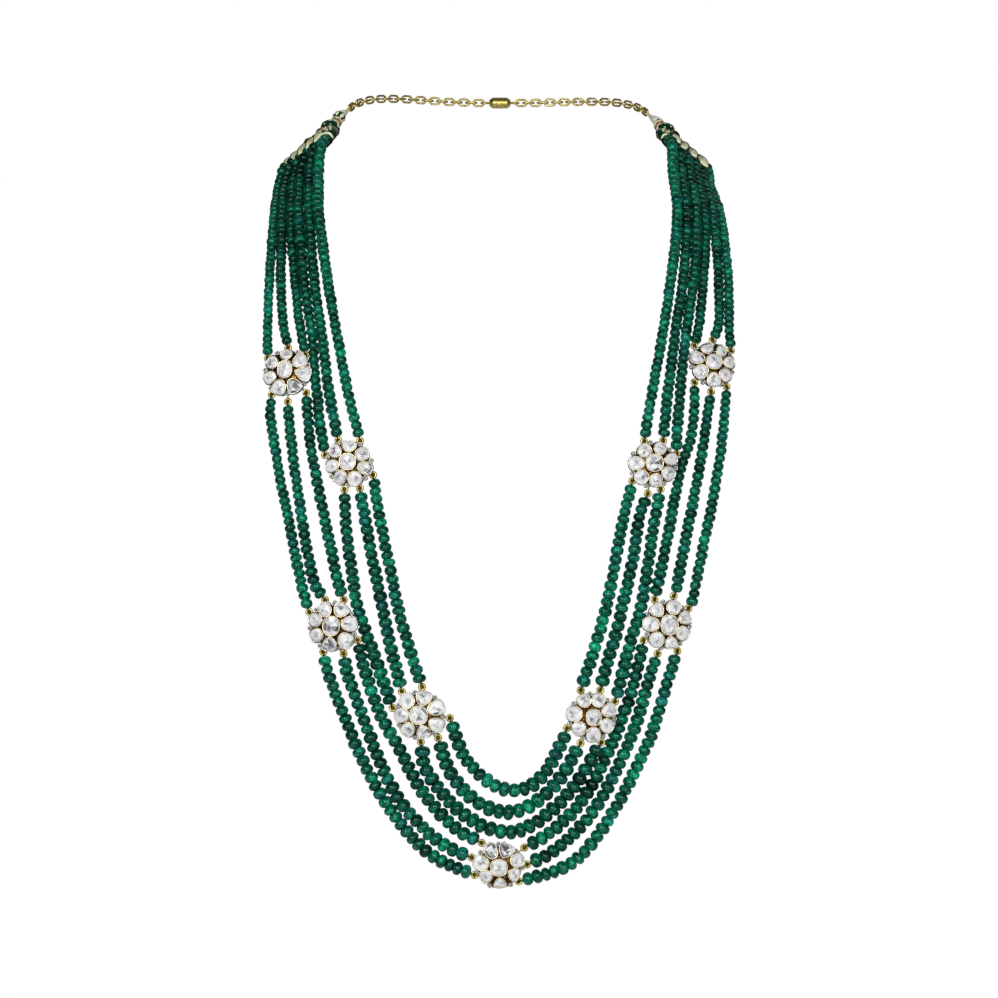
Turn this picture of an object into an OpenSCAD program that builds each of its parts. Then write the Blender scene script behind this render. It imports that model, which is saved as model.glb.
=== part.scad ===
// Six-strand bead necklace with nine flower stations, shown as worn: +X to the
// right of the front view, +Z up, the viewer at -Y, origin at the middle of the neck.

/* [Bead strings] */
// Diameter of the smallest beads, at the shoulders
bead_d_top = 4.05; // [3.6:0.05:4.1]
// Diameter of the largest beads, at the lowest point
bead_d_low = 6.2; // [5.8:0.1:6.3]
// Space between a string's end and the loop or socket that it is tied to
seat_gap = 0.25; // [0.15:0.05:0.4]
// Longest distance between two rings of a string's surface
ring_gap = 15; // [10:1:18]

/* [Worn shape] */
// How far the chest stands in front of the shoulders
chest_depth = 78; // [60:1:90]
// Height over which the chest comes forward
chest_fall = 75; // [60:1:90]
// How far the strings drop forward over the collar bone
collar_depth = 20; // [12:1:24]
// Radius of the chest from side to side
chest_r = 350; // [300:10:500]
// How much further back each string lies for every millimetre towards the shoulder
shoulder_slope = 1.6; // [1.2:0.1:1.8]

/* [Flower stations] */
// Wall of a collet round its stone
collet_wall = 0.4; // [0.3:0.05:0.5]
// Clear space round a stone in its collet
stone_gap = 0.13; // [0.11:0.01:0.15]
// Height of a petal's collet above the back plate
collet_h = 1.9; // [1.5:0.1:2.2]
// Height of the middle collet above the back plate
centre_collet_h = 2.1; // [1.8:0.1:2.5]
// Thickness of the back plate
plate_t = 0.8; // [0.6:0.1:1]
// Radius of the back plate
plate_r = 9.6; // [9.2:0.1:10]
// Angle at which the petals fall away from the middle
dome = 11; // [6:1:14]
// Radius of a grain cup between two petals
grain_r = 0.95; // [0.8:0.05:1.1]
// Radius of a thread loop, at the middle of its wire
loop_r = 1.15; // [1.1:0.05:1.3]
// Wire radius of a thread loop
loop_wire_r = 0.5; // [0.4:0.05:0.5]

/* [Spreaders] */
// Length of the fan from its mouth to its neck
fan_l = 18; // [15:1:20]
// Thickness of the fan
fan_t = 5.4; // [4.8:0.2:6]
// Radius of the enamelled ball
ball_r = 4.3; // [3.8:0.1:4.5]
// Radius of the stem that carries the ball and the bands
stem_r = 1.3; // [1.1:0.1:1.5]

/* [Nape chain] */
// Outside length of a link
link_l = 6; // [5.6:0.1:6]
// Outside width of a link
link_w = 4; // [3.6:0.1:4]
// Wire diameter of a link
link_wire = 1; // [0.8:0.1:1]
// Links on each side of the clasp
link_count = 21; // [20:1:21]

/* [Hidden] */

$fn = 48;

// Vectors
function unit(v) = v / norm(v);
function spin(a, d) = [d * cos(a), d * sin(a), 0];

// The surface that the middles of the strings follow
shoulder_z = 4;
shoulder_x = 70;
shoulder_fade = 40;
collar_fall = 14;
shoulder_y = -2;
function drop(z) = max(shoulder_z - z, 0);
function worn_y(x, z) = shoulder_y
    - chest_depth * (1 - exp(-drop(z) / chest_fall))
    - collar_depth * (1 - exp(-drop(z) / collar_fall))
    + x * x / (2 * chest_r)
    + shoulder_slope * max(abs(x) - shoulder_x, 0) * exp(-drop(z) / shoulder_fade);
function worn(p) = [p[0], worn_y(p[0], p[1]) + (len(p) > 2 ? p[2] : 0), p[1]];

// Flower stations, from the wearer's right round to the left. Columns: across, up,
// middle collet width, middle collet height, petals, loops, tie wire.
// A petal is [angle, distance, width across, length outwards, point], point being 0 for
// an oval and near 1 for a drop that points to the middle. Loops are [angle, distance]:
// three towards the left shoulder's end of the strings, then three towards the other.
// The tie wire is [angle, reach].
STATIONS = [
    [-97, -116.7, 7.3, 8.5,
        [[86, 6.6, 6.6, 4.9, 0.6], [31, 7.3, 7, 7.4, 0.5], [348, 8.2, 7, 8, 0.8],
            [301, 8.3, 7.3, 7.3, 0.5], [253, 8.2, 7.4, 7.6, 0.4], [206, 7.6, 6.5, 6.8, 0.3],
            [155, 6.4, 6.5, 6.3, 0.2]],
        [[41, 11.2], [90, 10.6], [148, 11], [314, 14.4], [276, 14.5], [240, 12.8]], [9, 11.6]],
    [-68.4, -158.5, 8, 7.9,
        [[86, 6.7, 7.4, 5.7, 0.5], [28, 7, 6.5, 6.5, 0.2], [341, 8.2, 6.3, 7.3, 0.3],
            [294, 8, 7.1, 7, 0.2], [244, 7.5, 6.5, 7.2, 0.2], [194, 7.2, 6.3, 7, 0.1],
            [141, 7.3, 6.8, 6.6, 0.3]],
        [[63, 11], [117, 11.2], [163, 11.6], [333, 12.8], [295, 13], [262, 12.4]], [216, 11.1]],
    [-75.6, -232.5, 8.3, 9.3,
        [[113, 7.8, 6.7, 7.3, 0.2], [59, 7.9, 7.5, 6.7, 0.5], [7, 7.9, 7.3, 7.6, 0.4],
            [315, 8.8, 7.7, 7.5, 0.3], [264, 7.9, 7.5, 7, 0.5], [211, 7.8, 6.8, 6.7, 0.1],
            [160, 7.8, 6.8, 7, 0.1]],
        [[67, 13], [107, 12.4], [150, 12.6], [332, 13.2], [293, 13.4], [250, 12.4]], [13, 12]],
    [-36.3, -272.5, 8.5, 8.7,
        [[130, 8.1, 7.3, 7.5, 0.1], [75, 7.5, 7.6, 7.1, 0.5], [23, 8, 7.3, 8.2, 0.4],
            [332, 8.5, 7.1, 7.7, 0.5], [285, 7.3, 7, 6.5, 0.6], [232, 7.7, 7.1, 6.8, 0.3],
            [180, 7.4, 7, 7.5, 0.2]],
        [[85, 12.8], [127, 13.4], [165, 12.6], [355, 13.8], [310, 13.2], [273, 12]], [222, 11.3]],
    [-0.5, -340.9, 8.1, 8,
        [[115, 7.9, 6.2, 7.8, 0.2], [67, 7.7, 7.4, 7, 0.7], [21, 8.5, 6.7, 6.8, 0.2],
            [336, 7, 6.5, 5.8, 0.5], [274, 6.4, 6.3, 4.8, 0.7], [214, 6.5, 6.7, 6.2, 0.5],
            [166, 7.9, 7, 7.7, 0.2]],
        [[125, 13.5], [160, 13], [197, 11.4], [38, 14.6], [6, 12.8], [325, 10.9]], [78, 12]],
    [41.8, -273.5, 7.3, 8,
        [[119, 8.2, 6.5, 6.5, 0.3], [74, 7.6, 6.7, 6.7, 0.2], [24, 7.3, 6.9, 7.3, 0.5],
            [329, 6.8, 7.1, 7, 0.2], [270, 7.5, 7.4, 7.4, 0.2], [217, 7.8, 7, 6.7, 0.2],
            [169, 8.4, 7.3, 7.5, 0.2]],
        [[202, 12.6], [244, 12.8], [289, 12], [114, 13.4], [74, 12.7], [35, 12.4]], [344, 11.2]],
    [75.9, -232, 8.5, 9.5,
        [[74, 7.9, 7.5, 6.8, 0.2], [23, 7.3, 7, 6.7, 0.7], [329, 7.1, 7.1, 6.7, 0],
            [277, 7.5, 6.7, 6.3, 0.7], [229, 8.4, 7.2, 7.2, 0.1], [177, 8.1, 7, 7.9, 0.1],
            [129, 8.1, 7, 6.7, 0.6]],
        [[211, 13.3], [249, 13.8], [290, 12.4], [118, 13.1], [78, 13.4], [38, 12.2]], [153, 13.2]],
    [69.3, -159, 8.5, 8.3,
        [[127, 6.7, 6.9, 6.6, 0.2], [66, 6.8, 6.8, 6, 0.3], [12, 7.6, 6.3, 6.7, 0.4],
            [324, 7.7, 7, 7, 0.2], [274, 7.5, 6.6, 6.5, 0.2], [227, 8.4, 6.7, 7, 0.2],
            [181, 7.9, 6.7, 7.5, 0.2]],
        [[219, 12.7], [258, 14], [285, 12.1], [111, 10.9], [65, 11.5], [22, 11.8]], [330, 12]],
    [96.5, -113.2, 8.1, 7.5,
        [[115, 7.3, 6.3, 6.4, 0.3], [52, 5.9, 5.5, 5.5, 0.2], [1, 6.8, 6.4, 6.2, 0.3],
            [313, 7.5, 6, 6.9, 0.2], [267, 7.8, 6.8, 6.8, 0.4], [216, 7.3, 6.8, 7.3, 0.3],
            [166, 7.5, 6.2, 7.3, 0.3]],
        [[225, 12.8], [264, 13.5], [299, 12.6], [135, 11.2], [85, 10.6], [32, 11]], [167, 11.5]]
];
PETAL_POINTS = 10;
LOOPS_A_SIDE = 3;
function station(i) = STATIONS[i - 1];
function station_at(i) = worn([station(i)[0], station(i)[1]]);
function station_yaw(i) = atan(station(i)[0] / chest_r);
function station_lean(i) = atan(chest_depth / chest_fall * exp(-drop(station(i)[1]) / chest_fall));
function after(petals, k) = petals[(k + 1) % len(petals)];
function grain_angle(petals, k) = petals[k][0] - ((petals[k][0] - after(petals, k)[0] + 360) % 360) / 2;
function grain_at(petals, k) = min((petals[k][1] + after(petals, k)[1]) / 2 + 2.3, plate_r + 0.7);

// Turns a direction in a station's own plane into the necklace's frame
function tilt(v, i) = let(c = cos(station_lean(i)), s = sin(station_lean(i)),
    yaw = station_yaw(i), y = -v[2] * c + v[1] * s, z = v[1] * c + v[2] * s)
    [v[0] * cos(yaw) - y * sin(yaw), v[0] * sin(yaw) + y * cos(yaw), z];
function loop_at(i, k) = station_at(i) + tilt(spin(station(i)[5][k][0], station(i)[5][k][1]), i);

// End spreaders. Columns: socket of string 1, socket of string 6, tip of the axis,
// all for the side where x is positive, then -1 where the piece is its mirror image.
SPREADERS = [
    [[80.5, -12, -8.5], [98.5, 3, -19.5], [72, 32, 7], -1],
    [[77.5, -12, -8.5], [96.5, 3, -21], [69.5, 35, 6], 1]
];
STRINGS = 6;
AXIS_L = 46;
eye_r = 1.8;
eye_y = AXIS_L + 1.8;
socket_l = 1.6;
function row_of(s) = SPREADERS[s][1] - SPREADERS[s][0];
function row_l(s) = norm(row_of(s));
function mouth_of(s) = (SPREADERS[s][1] + SPREADERS[s][0]) / 2;
function axis_x(s) = unit(row_of(s));
function axis_y(s) = let(d = SPREADERS[s][2] - mouth_of(s)) unit(d - (d * axis_x(s)) * axis_x(s));
function flip(v, s) = [SPREADERS[s][3] * v[0], v[1], v[2]];
function on_spreader(s, x, y) = flip(mouth_of(s) + x * axis_x(s) + y * axis_y(s), s);
function socket_x(s, j) = (j - 1) / (STRINGS - 1) * row_l(s) - row_l(s) / 2;
function socket_at(s, j) = on_spreader(s, socket_x(s, j), -socket_l - seat_gap);
function lead_out(s, j) = on_spreader(s, socket_x(s, j), -socket_l - 4);

// Routes of the strings between their fixed ends, from the left spreader to the right.
// Each point is [across, up] or [across, up, set back]. One list for each stretch.
ROUTES = [
    [
        [[-84, -24], [-84, -40], [-82, -56], [-77.7, -80], [-74, -100.5], [-69, -126]],
        [[-54.9, -180], [-50.5, -202], [-45.5, -226], [-40.6, -243]],
        [[-16.2, -290.7], [-8.2, -299.9], [0, -305], [7, -306.2], [14.3, -304], [21.8, -296.2],
            [27.5, -285.5]],
        [[42.8, -242], [46.2, -230], [49.8, -216], [52.6, -200], [56.2, -182]],
        [[68.7, -128], [73.9, -100.5], [78.2, -73], [80.5, -56], [81.5, -40], [80.5, -24]]
    ],
    [
        [[-88.5, -24], [-89, -40], [-87.5, -56], [-84.5, -78], [-80.9, -101], [-77.3, -128]],
        [[-60.5, -186], [-57.5, -202.5], [-53.5, -222], [-49, -243], [-46.5, -252]],
        [[-23.2, -296.7], [-15.4, -307.3], [-5.4, -314.2], [6, -315.9], [16.2, -311.3], [27, -301]],
        [[49, -247], [53, -233], [57, -216], [60.5, -200], [63, -183]],
        [[76, -128], [79.5, -101], [83.2, -78], [85.5, -56], [86, -40], [84.5, -24]]
    ],
    [
        [[-92.5, -24], [-93, -40], [-92, -56], [-89, -80], [-85.9, -98, 2.9], [-85, -108, 4.5],
            [-84.6, -116, 4.5], [-83, -128, 3], [-81.8, -140, 1.4]],
        [[-69.5, -187], [-67.5, -204], [-64.9, -221, 2.5], [-60.9, -235, 4.9], [-56, -248, 2]],
        [[-33.5, -297, 1], [-25.2, -308.8, 0.6], [-14, -318.6], [-3, -324], [8, -324.5], [20, -318],
            [33, -305, 0.6]],
        [[55.7, -252], [59.6, -238, 2.5], [63.8, -224, 4], [67.1, -203], [69.4, -187]],
        [[80.4, -141], [81.8, -127], [83.2, -112], [85.3, -95], [89, -70], [90, -52], [90, -38],
            [88, -25]]
    ],
    [
        [[-95.6, -25, 1.6], [-96.8, -40, 0.9], [-96, -56, 0.5], [-93.5, -76, 1.2], [-91.5, -94, 1]],
        [[-87.3, -135], [-85.9, -151], [-83.2, -165], [-78.5, -188], [-73, -213]],
        [[-60, -255.5], [-54, -272], [-45, -288.5], [-37, -303.5], [-27, -316.7], [-19, -324]],
        [[21.5, -326], [33.5, -315.3, 1.2], [42.6, -302, 2.4], [51.2, -284, 4.6], [55, -273.5, 4.4],
            [59.2, -263, 3.4], [61.9, -252, 1.8]],
        [[73, -206], [76.6, -188, 1.5], [79.9, -171, 3.8], [82.3, -160, 4.2], [86.2, -149, 2.2],
            [88, -137]],
        [[90.8, -95, 1.6], [92.8, -76, 1.4], [94.5, -56, 0.3], [94.5, -40, 0.3], [92, -26, 0.6]]
    ],
    [
        [[-99, -27, 3], [-100.5, -40, 0.7], [-100.5, -56], [-100.5, -75], [-98.7, -95]],
        [[-94.9, -148], [-91.7, -170], [-88, -194], [-84, -213]],
        [[-68.5, -255], [-62.3, -272], [-55, -291.5], [-46, -309.5], [-35, -322.8], [-25.5, -330.7]],
        [[22, -335], [33.3, -325.7], [44.2, -312.5], [54.2, -293.5], [61.7, -275.5], [67.6, -255]],
        [[80.3, -213], [84.3, -192], [88, -173], [92, -152], [94, -138]],
        [[99.8, -95], [100, -75], [99.5, -56], [98.5, -40, 0.7], [95.7, -28, 3]]
    ],
    [
        [[-103, -31, 5], [-104.5, -42, 1.5], [-105.5, -56], [-105.9, -75], [-106, -95]],
        [[-104.3, -137], [-100.8, -160], [-95.7, -185], [-89.7, -214]],
        [[-77.5, -254], [-69.4, -275.2], [-59.5, -298], [-48.4, -316.6, 2.2], [-35.4, -331.9, 2],
            [-24.8, -339, 0.9]],
        [[25, -342.5], [36.3, -335.8], [48, -321], [59.2, -301], [68.2, -281.5], [75.2, -259]],
        [[87.2, -220], [91.9, -197], [96.2, -177], [99.9, -155], [102.1, -136]],
        [[104.5, -95], [104.5, -75], [103.5, -56], [102, -42, 1.5], [99.2, -31, 5]]
    ]
];
// The stations that the strings pass through: 1 to 3 the even ones, 4 to 6 the odd ones
function stops(j) = j <= LOOPS_A_SIDE ? [2, 4, 6, 8] : [1, 3, 5, 7, 9];
function loop_k(j) = (j - 1) % LOOPS_A_SIDE;
loop_reach = loop_r + loop_wire_r + seat_gap;
function toward(p, q, d) = p + d * unit(q - p);
function stretch(j, n) = let(
    s = stops(j),
    middle = [for (p = ROUTES[j - 1][n]) worn(p)],
    last = len(middle) - 1,
    from = n == 0 ? [socket_at(0, j), lead_out(0, j)]
        : [toward(loop_at(s[n - 1], LOOPS_A_SIDE + loop_k(j)), middle[0], loop_reach)],
    to = n == len(s) ? [lead_out(1, j), socket_at(1, j)]
        : [toward(loop_at(s[n], loop_k(j)), middle[last], loop_reach)])
    concat(from, middle, to);

// A smooth curve through points, and the bead radius at a height
function through(a, b, c, d, t) = 0.5 * (2 * b + (c - a) * t + (2 * a - 5 * b + 4 * c - d) * t * t
    + (3 * b - a - 3 * c + d) * t * t * t);
function curve(p) = let(m = len(p) - 1) [
    for (i = [0:m - 1])
        let(a = p[max(i - 1, 0)], d = p[min(i + 2, m)], n = ceil(norm(p[i + 1] - p[i]) / ring_gap))
            for (k = [0:n - 1]) through(a, p[i], p[i + 1], d, k / n),
    p[m]
];
GRADE_TOP_Z = -40;
GRADE_FALL = 270;
GRADE_POWER = 1.5;
function bead_r(z) = let(t = min(max((GRADE_TOP_Z - z) / GRADE_FALL, 0), 1))
    (bead_d_top + (bead_d_low - bead_d_top) * pow(t, GRADE_POWER)) / 2;

// A closed tube swept along a curve
TUBE_SIDES = 8;
module tube(c) {
    m = len(c) - 1;
    rings = [
        for (i = [0:m])
            let(t = unit(c[min(i + 1, m)] - c[max(i - 1, 0)]), u = unit(cross(t, [0, 1, 0])),
                v = cross(t, u), r = bead_r(c[i][2]))
                for (k = [0:TUBE_SIDES - 1])
                    let(a = (k + 0.5) * 360 / TUBE_SIDES) c[i] + r * (cos(a) * u + sin(a) * v)
    ];
    skin = [
        for (i = [0:m - 1], k = [0:TUBE_SIDES - 1])
            let(n = (k + 1) % TUBE_SIDES, b = i * TUBE_SIDES)
                [b + k, b + TUBE_SIDES + k, b + TUBE_SIDES + n, b + n]
    ];
    ends = [
        [for (k = [0:TUBE_SIDES - 1]) k],
        [for (k = [TUBE_SIDES - 1:-1:0]) m * TUBE_SIDES + k]
    ];
    polyhedron(rings, concat(skin, ends));
}

module bead_string(j) {
    color([0.04, 0.36, 0.25])
        for (n = [0:len(stops(j))])
            tube(curve(stretch(j, n)));
}

// Outline of a stone or collet: an oval that narrows towards its inner end
FULLNESS = 0.85;
function rounded(s) = sign(s) * pow(abs(s), FULLNESS);
function outline(length, width, point) = [
    for (k = [0:PETAL_POINTS - 1])
        let(a = 360 * k / PETAL_POINTS, narrow = (1 + point * (cos(a) - 1) / 2) / (1 - 0.42 * point))
            [length / 2 * rounded(cos(a)), width / 2 * rounded(sin(a)) * narrow]
];

// Places its children in a station's plane
module in_station(i) {
    translate(station_at(i))
        rotate([90 - station_lean(i), 0, station_yaw(i)])
            children();
}

// Heights in a station's own frame, with the thread loops at nought
plate_flat_r = 4.6;
plate_top = 1.2;
collet_root = 0.5;
floor_t = 0.1;
function plate_z(r) = plate_top - max(r - plate_flat_r, 0) * tan(dome);
module at_petal(p) {
    rotate([0, 0, p[0]])
        translate([p[1], 0, plate_z(p[1])])
            rotate([0, dome, 0])
                children();
}

module back_plate() {
    rotate_extrude()
        polygon([[0, plate_top - plate_t], [plate_flat_r, plate_top - plate_t],
            [plate_r, plate_z(plate_r) - plate_t], [plate_r, plate_z(plate_r)],
            [plate_flat_r, plate_top], [0, plate_top]]);
}

module thread_loop(a, d) {
    rotate([0, 0, a]) {
        translate([d, 0, 0])
            rotate_extrude()
                translate([loop_r, 0])
                    circle(r = loop_wire_r, $fn = 24);
        translate([plate_r - 0.8, 0, -0.15])
            rotate([0, 90, 0])
                cylinder(r = 0.42, h = d - loop_r - plate_r + 0.8, $fn = 24);
    }
}

TIE_R = 0.3;
GRAIN_CUP = [-0.75, 1.15];
module setting(i) {
    s = station(i);
    petals = s[4];
    color([0.8, 0.76, 0.66])
        in_station(i)
            difference() {
                union() {
                    back_plate();
                    translate([0, 0, plate_top - collet_root])
                        linear_extrude(centre_collet_h + collet_root)
                            polygon(outline(s[2], s[3], 0));
                    for (p = petals)
                        at_petal(p)
                            translate([0, 0, -collet_root])
                                linear_extrude(collet_h + collet_root)
                                    polygon(outline(p[3], p[2], p[4]));
                    for (k = [0:len(petals) - 1])
                        rotate([0, 0, grain_angle(petals, k)])
                            translate([grain_at(petals, k), 0, GRAIN_CUP[0]])
                                cylinder(r = grain_r, h = GRAIN_CUP[1] - GRAIN_CUP[0], $fn = 24);
                    for (l = s[5])
                        thread_loop(l[0], l[1]);
                    rotate([0, 0, s[6][0]])
                        translate([plate_r - 0.8, 0, -0.2])
                            rotate([0, 90, 0])
                                cylinder(r = TIE_R, h = s[6][1] - plate_r + 0.8, $fn = 24);
                }
                translate([0, 0, plate_top + floor_t])
                    linear_extrude(centre_collet_h)
                        polygon(outline(s[2] - 2 * collet_wall, s[3] - 2 * collet_wall, 0));
                for (p = petals)
                    at_petal(p)
                        translate([0, 0, floor_t])
                            linear_extrude(collet_h)
                                polygon(outline(p[3] - 2 * collet_wall, p[2] - 2 * collet_wall, p[4]));
            }
}

// A cut stone: straight girdle, ten crown facets and a table a little off the middle
CROWN_H = 0.8;
TABLE = 0.5;
module stone(length, width, point, girdle_h, shift) {
    n = PETAL_POINTS;
    rim = outline(length, width, point);
    levels = [
        for (p = rim) [p[0], p[1], 0],
        for (p = rim) [p[0], p[1], girdle_h],
        for (p = rim) [p[0] * TABLE + shift[0], p[1] * TABLE + shift[1], girdle_h + CROWN_H]
    ];
    sides = [
        for (l = [0:1], k = [0:n - 1])
            let(m = (k + 1) % n, b = l * n) [b + k, b + n + k, b + n + m, b + m]
    ];
    polyhedron(levels, concat(sides,
        [[for (k = [0:n - 1]) k], [for (k = [n - 1:-1:0]) 2 * n + k]]));
}
loss = 2 * (collet_wall + stone_gap);
TABLE_SHIFT = 0.35;

module centre_stone(i) {
    s = station(i);
    color([0.93, 0.94, 0.96])
        in_station(i)
            translate([0, 0, plate_top + floor_t + stone_gap])
                stone(s[2] - loss, s[3] - loss, 0, centre_collet_h - floor_t - stone_gap - 0.1,
                    TABLE_SHIFT * [cos(70 * i), sin(70 * i)]);
}

module petal_stones(i) {
    petals = station(i)[4];
    color([0.93, 0.94, 0.96])
        in_station(i)
            for (k = [0:len(petals) - 1])
                at_petal(petals[k])
                    translate([0, 0, floor_t + stone_gap])
                        stone(petals[k][3] - loss, petals[k][2] - loss, petals[k][4],
                            collet_h - floor_t - stone_gap - 0.1,
                            TABLE_SHIFT * [cos(100 * k + 40 * i), sin(100 * k + 40 * i)]);
}

// Places its children in a spreader's frame: X along the sockets, Y to the tip, Z outwards
module in_spreader(s) {
    x = axis_x(s);
    y = axis_y(s);
    z = cross(x, y);
    o = mouth_of(s);
    mirror([SPREADERS[s][3] < 0 ? 1 : 0, 0, 0])
        multmatrix([[x[0], y[0], z[0], o[0]], [x[1], y[1], z[1], o[1]], [x[2], y[2], z[2], o[2]]])
            children();
}

// Parts along a spreader's axis, each from and to
MOUTH = [-0.2, 1.2];
COLLAR = [fan_l - 1, fan_l + 1.6];
COLLAR_R = [4.4, 3];
ball_y = fan_l + 2.2 + ball_r;
BALL_FLAT = 0.5;
RED_BAND = [ball_y + ball_r + 2.4, ball_y + ball_r + 5.1];
LEAFY_BEAD = RED_BAND[1] + 4.1;
leafy_r = 3;
band_r = 2.7;
// Cone from the leafy bead to the eye
CONE = [LEAFY_BEAD + 2, AXIS_L + 0.4];
CONE_R = [2.1, 0.8];
// Ring between the ball and the red band
RING_R = [2, 2.5];
ring_l = 0.7;
neck_half = 4.2;
mouth_over = 2.6;
function fan_half(s, t) = neck_half + (row_l(s) / 2 + mouth_over - neck_half) * pow(1 - t, 1.5);

module fan(s, inset, from, to, h) {
    steps = 6;
    side = [for (k = [0:steps]) [fan_half(s, k / steps) - inset, from + (to - from) * k / steps]];
    other = [for (k = [steps:-1:0]) [-side[k][0], side[k][1]]];
    linear_extrude(h, center = true)
        polygon(concat(side, other));
}

module along(y, r1, r2, h) {
    translate([0, y, 0])
        rotate([-90, 0, 0])
            cylinder(r1 = r1, r2 = r2, h = h);
}

module leaf(w, l, t) {
    r = (w * w + l * l) / (4 * w);
    linear_extrude(t, center = true)
        intersection() {
            translate([r - w / 2, 0])
                circle(r = r, $fn = 96);
            translate([w / 2 - r, 0])
                circle(r = r, $fn = 96);
        }
}

// Leaves over the mouth's upper edge: place along half the row, height, length
LEAVES = [[-0.8, 3.6, 6.2], [-0.34, 3, 6.4], [0.12, 2.7, 6.6], [0.54, 2.4, 6.2], [0.94, 1.2, 5.6]];
LEAF_SLANT = 22;
LEAF_W = 3;
LEAF_T = 1.1;
LEAF_Y = -0.45;

// Enamel panel in each face of the fan, and the clear space round enamel
PANEL_DEEP = 0.6;
PANEL_INSET = 1.1;
PANEL_FROM = 2.2;
PANEL_SHORT = 2.5;
GAP = 0.1;
socket_r = 2.3;
socket_taper = 0.3;
module panel(s, grow, deep) {
    for (side = [1, -1])
        translate([0, 0, side * (fan_t / 2 - deep / 2)])
            fan(s, PANEL_INSET - 3 * grow, PANEL_FROM - grow, fan_l - PANEL_SHORT + grow, deep + 2 * grow);
}

module spreader(s) {
    color([0.86, 0.72, 0.38])
        in_spreader(s) {
            difference() {
                fan(s, 0, MOUTH[1] - 0.3, fan_l, fan_t);
                panel(s, GAP, PANEL_DEEP);
            }
            translate([0, (MOUTH[0] + MOUTH[1]) / 2, 0])
                cube([row_l(s) + 2 * mouth_over, MOUTH[1] - MOUTH[0], fan_t + 0.8], center = true);
            for (j = [1:STRINGS])
                translate([socket_x(s, j), 0, 0])
                    along(-socket_l, socket_r - socket_taper, socket_r, socket_l);
            for (l = LEAVES)
                translate([l[0] * row_l(s) / 2, LEAF_Y, l[1]])
                    rotate([90, 0, 0])
                        rotate([0, 0, 90 - LEAF_SLANT])
                            leaf(LEAF_W, l[2], LEAF_T);
            along(COLLAR[0], COLLAR_R[0], COLLAR_R[1], COLLAR[1] - COLLAR[0]);
            along(COLLAR[0], stem_r, stem_r, LEAFY_BEAD - COLLAR[0]);
            along(RED_BAND[0] - ring_l - GAP, RING_R[0], RING_R[1], ring_l);
            translate([0, LEAFY_BEAD, 0])
                sphere(r = leafy_r);
            along(CONE[0], CONE_R[0], CONE_R[1], CONE[1] - CONE[0]);
            translate([0, eye_y, 0])
                rotate_extrude()
                    translate([eye_r, 0])
                        circle(r = loop_wire_r, $fn = 24);
        }
}

module enamel(s) {
    color([0.03, 0.33, 0.2])
        in_spreader(s) {
            panel(s, 0, PANEL_DEEP);
            difference() {
                translate([0, ball_y, 0])
                    sphere(r = ball_r);
                along(fan_l, stem_r + GAP, stem_r + GAP, 3 * ball_r);
                along(fan_l, ball_r, ball_r, ball_y - ball_r - fan_l + BALL_FLAT);
                along(ball_y + ball_r - BALL_FLAT, ball_r, ball_r, 2 * BALL_FLAT);
            }
        }
    color([0.7, 0.12, 0.1])
        in_spreader(s)
            difference() {
                along(RED_BAND[0], band_r, band_r, RED_BAND[1] - RED_BAND[0]);
                along(RED_BAND[0] - 1, stem_r + GAP, stem_r + GAP, RED_BAND[1] - RED_BAND[0] + 2);
            }
}

// The way round the nape: a curve from each spreader's eye to the clasp
CLASP = [0, 66, 13];
clasp_half = 7;
CLASP_PULL = 32;
EYE_PULL = 22;
eye_step = 3.1;
function eye_at(s) = on_spreader(s, 0, eye_y);
function clasp_eye(s) = CLASP + [SPREADERS[s][3] * clasp_half, 0, 0];
function nape(s, t) = let(
    a = eye_at(s),
    b = a + EYE_PULL * flip(axis_y(s), s),
    d = clasp_eye(s),
    c = d + [SPREADERS[s][3] * CLASP_PULL, 0, 0],
    u = 1 - t)
    u * u * u * a + 3 * u * u * t * b + 3 * u * t * t * c + t * t * t * d;
NAPE_STEPS = 60;
function nape_sums(s, k = 1, run = [[0, 0]]) = k > NAPE_STEPS ? run
    : nape_sums(s, k + 1, concat(run,
        [[run[k - 1][0] + norm(nape(s, k / NAPE_STEPS) - nape(s, (k - 1) / NAPE_STEPS)),
            k / NAPE_STEPS]]));

module chain_link() {
    bend = (link_w - link_wire) / 2;
    straight = link_l - link_w;
    for (e = [0, 180])
        rotate([0, 0, e]) {
            translate([straight / 2, 0, 0])
                rotate([0, 0, -90])
                    rotate_extrude(angle = 180)
                        translate([bend, 0])
                            circle(d = link_wire, $fn = 24);
            translate([-straight / 2, bend, 0])
                rotate([0, 90, 0])
                    cylinder(d = link_wire, h = straight, $fn = 24);
        }
}

module nape_chain(s) {
    sums = nape_sums(s);
    whole = sums[NAPE_STEPS][0];
    pitch = (whole - 2 * eye_step) / (link_count - 1);
    color([0.86, 0.72, 0.38])
        for (k = [0:link_count - 1])
            let(t = lookup(eye_step + k * pitch, sums),
                p = nape(s, t),
                x = unit(nape(s, min(t + 0.01, 1)) - nape(s, max(t - 0.01, 0))),
                side = unit(cross(x, [0, 0, 1])),
                z = k % 2 == 0 ? side : cross(side, x),
                y = cross(z, x))
                multmatrix([[x[0], y[0], z[0], p[0]], [x[1], y[1], z[1], p[1]],
                        [x[2], y[2], z[2], p[2]]])
                    chain_link();
}

module clasp() {
    barrel_half = clasp_half - eye_r - 0.2;
    color([0.86, 0.72, 0.38])
        translate(CLASP) {
            rotate([0, 90, 0])
                rotate_extrude()
                    polygon([[0, -barrel_half], [1.4, -barrel_half], [2.6, 1.6 - barrel_half],
                        [2.6, barrel_half - 1.6], [1.4, barrel_half], [0, barrel_half]]);
            for (side = [1, -1])
                translate([side * clasp_half, 0, 0])
                    rotate_extrude()
                        translate([eye_r, 0])
                            circle(r = loop_wire_r, $fn = 24);
        }
}

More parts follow.
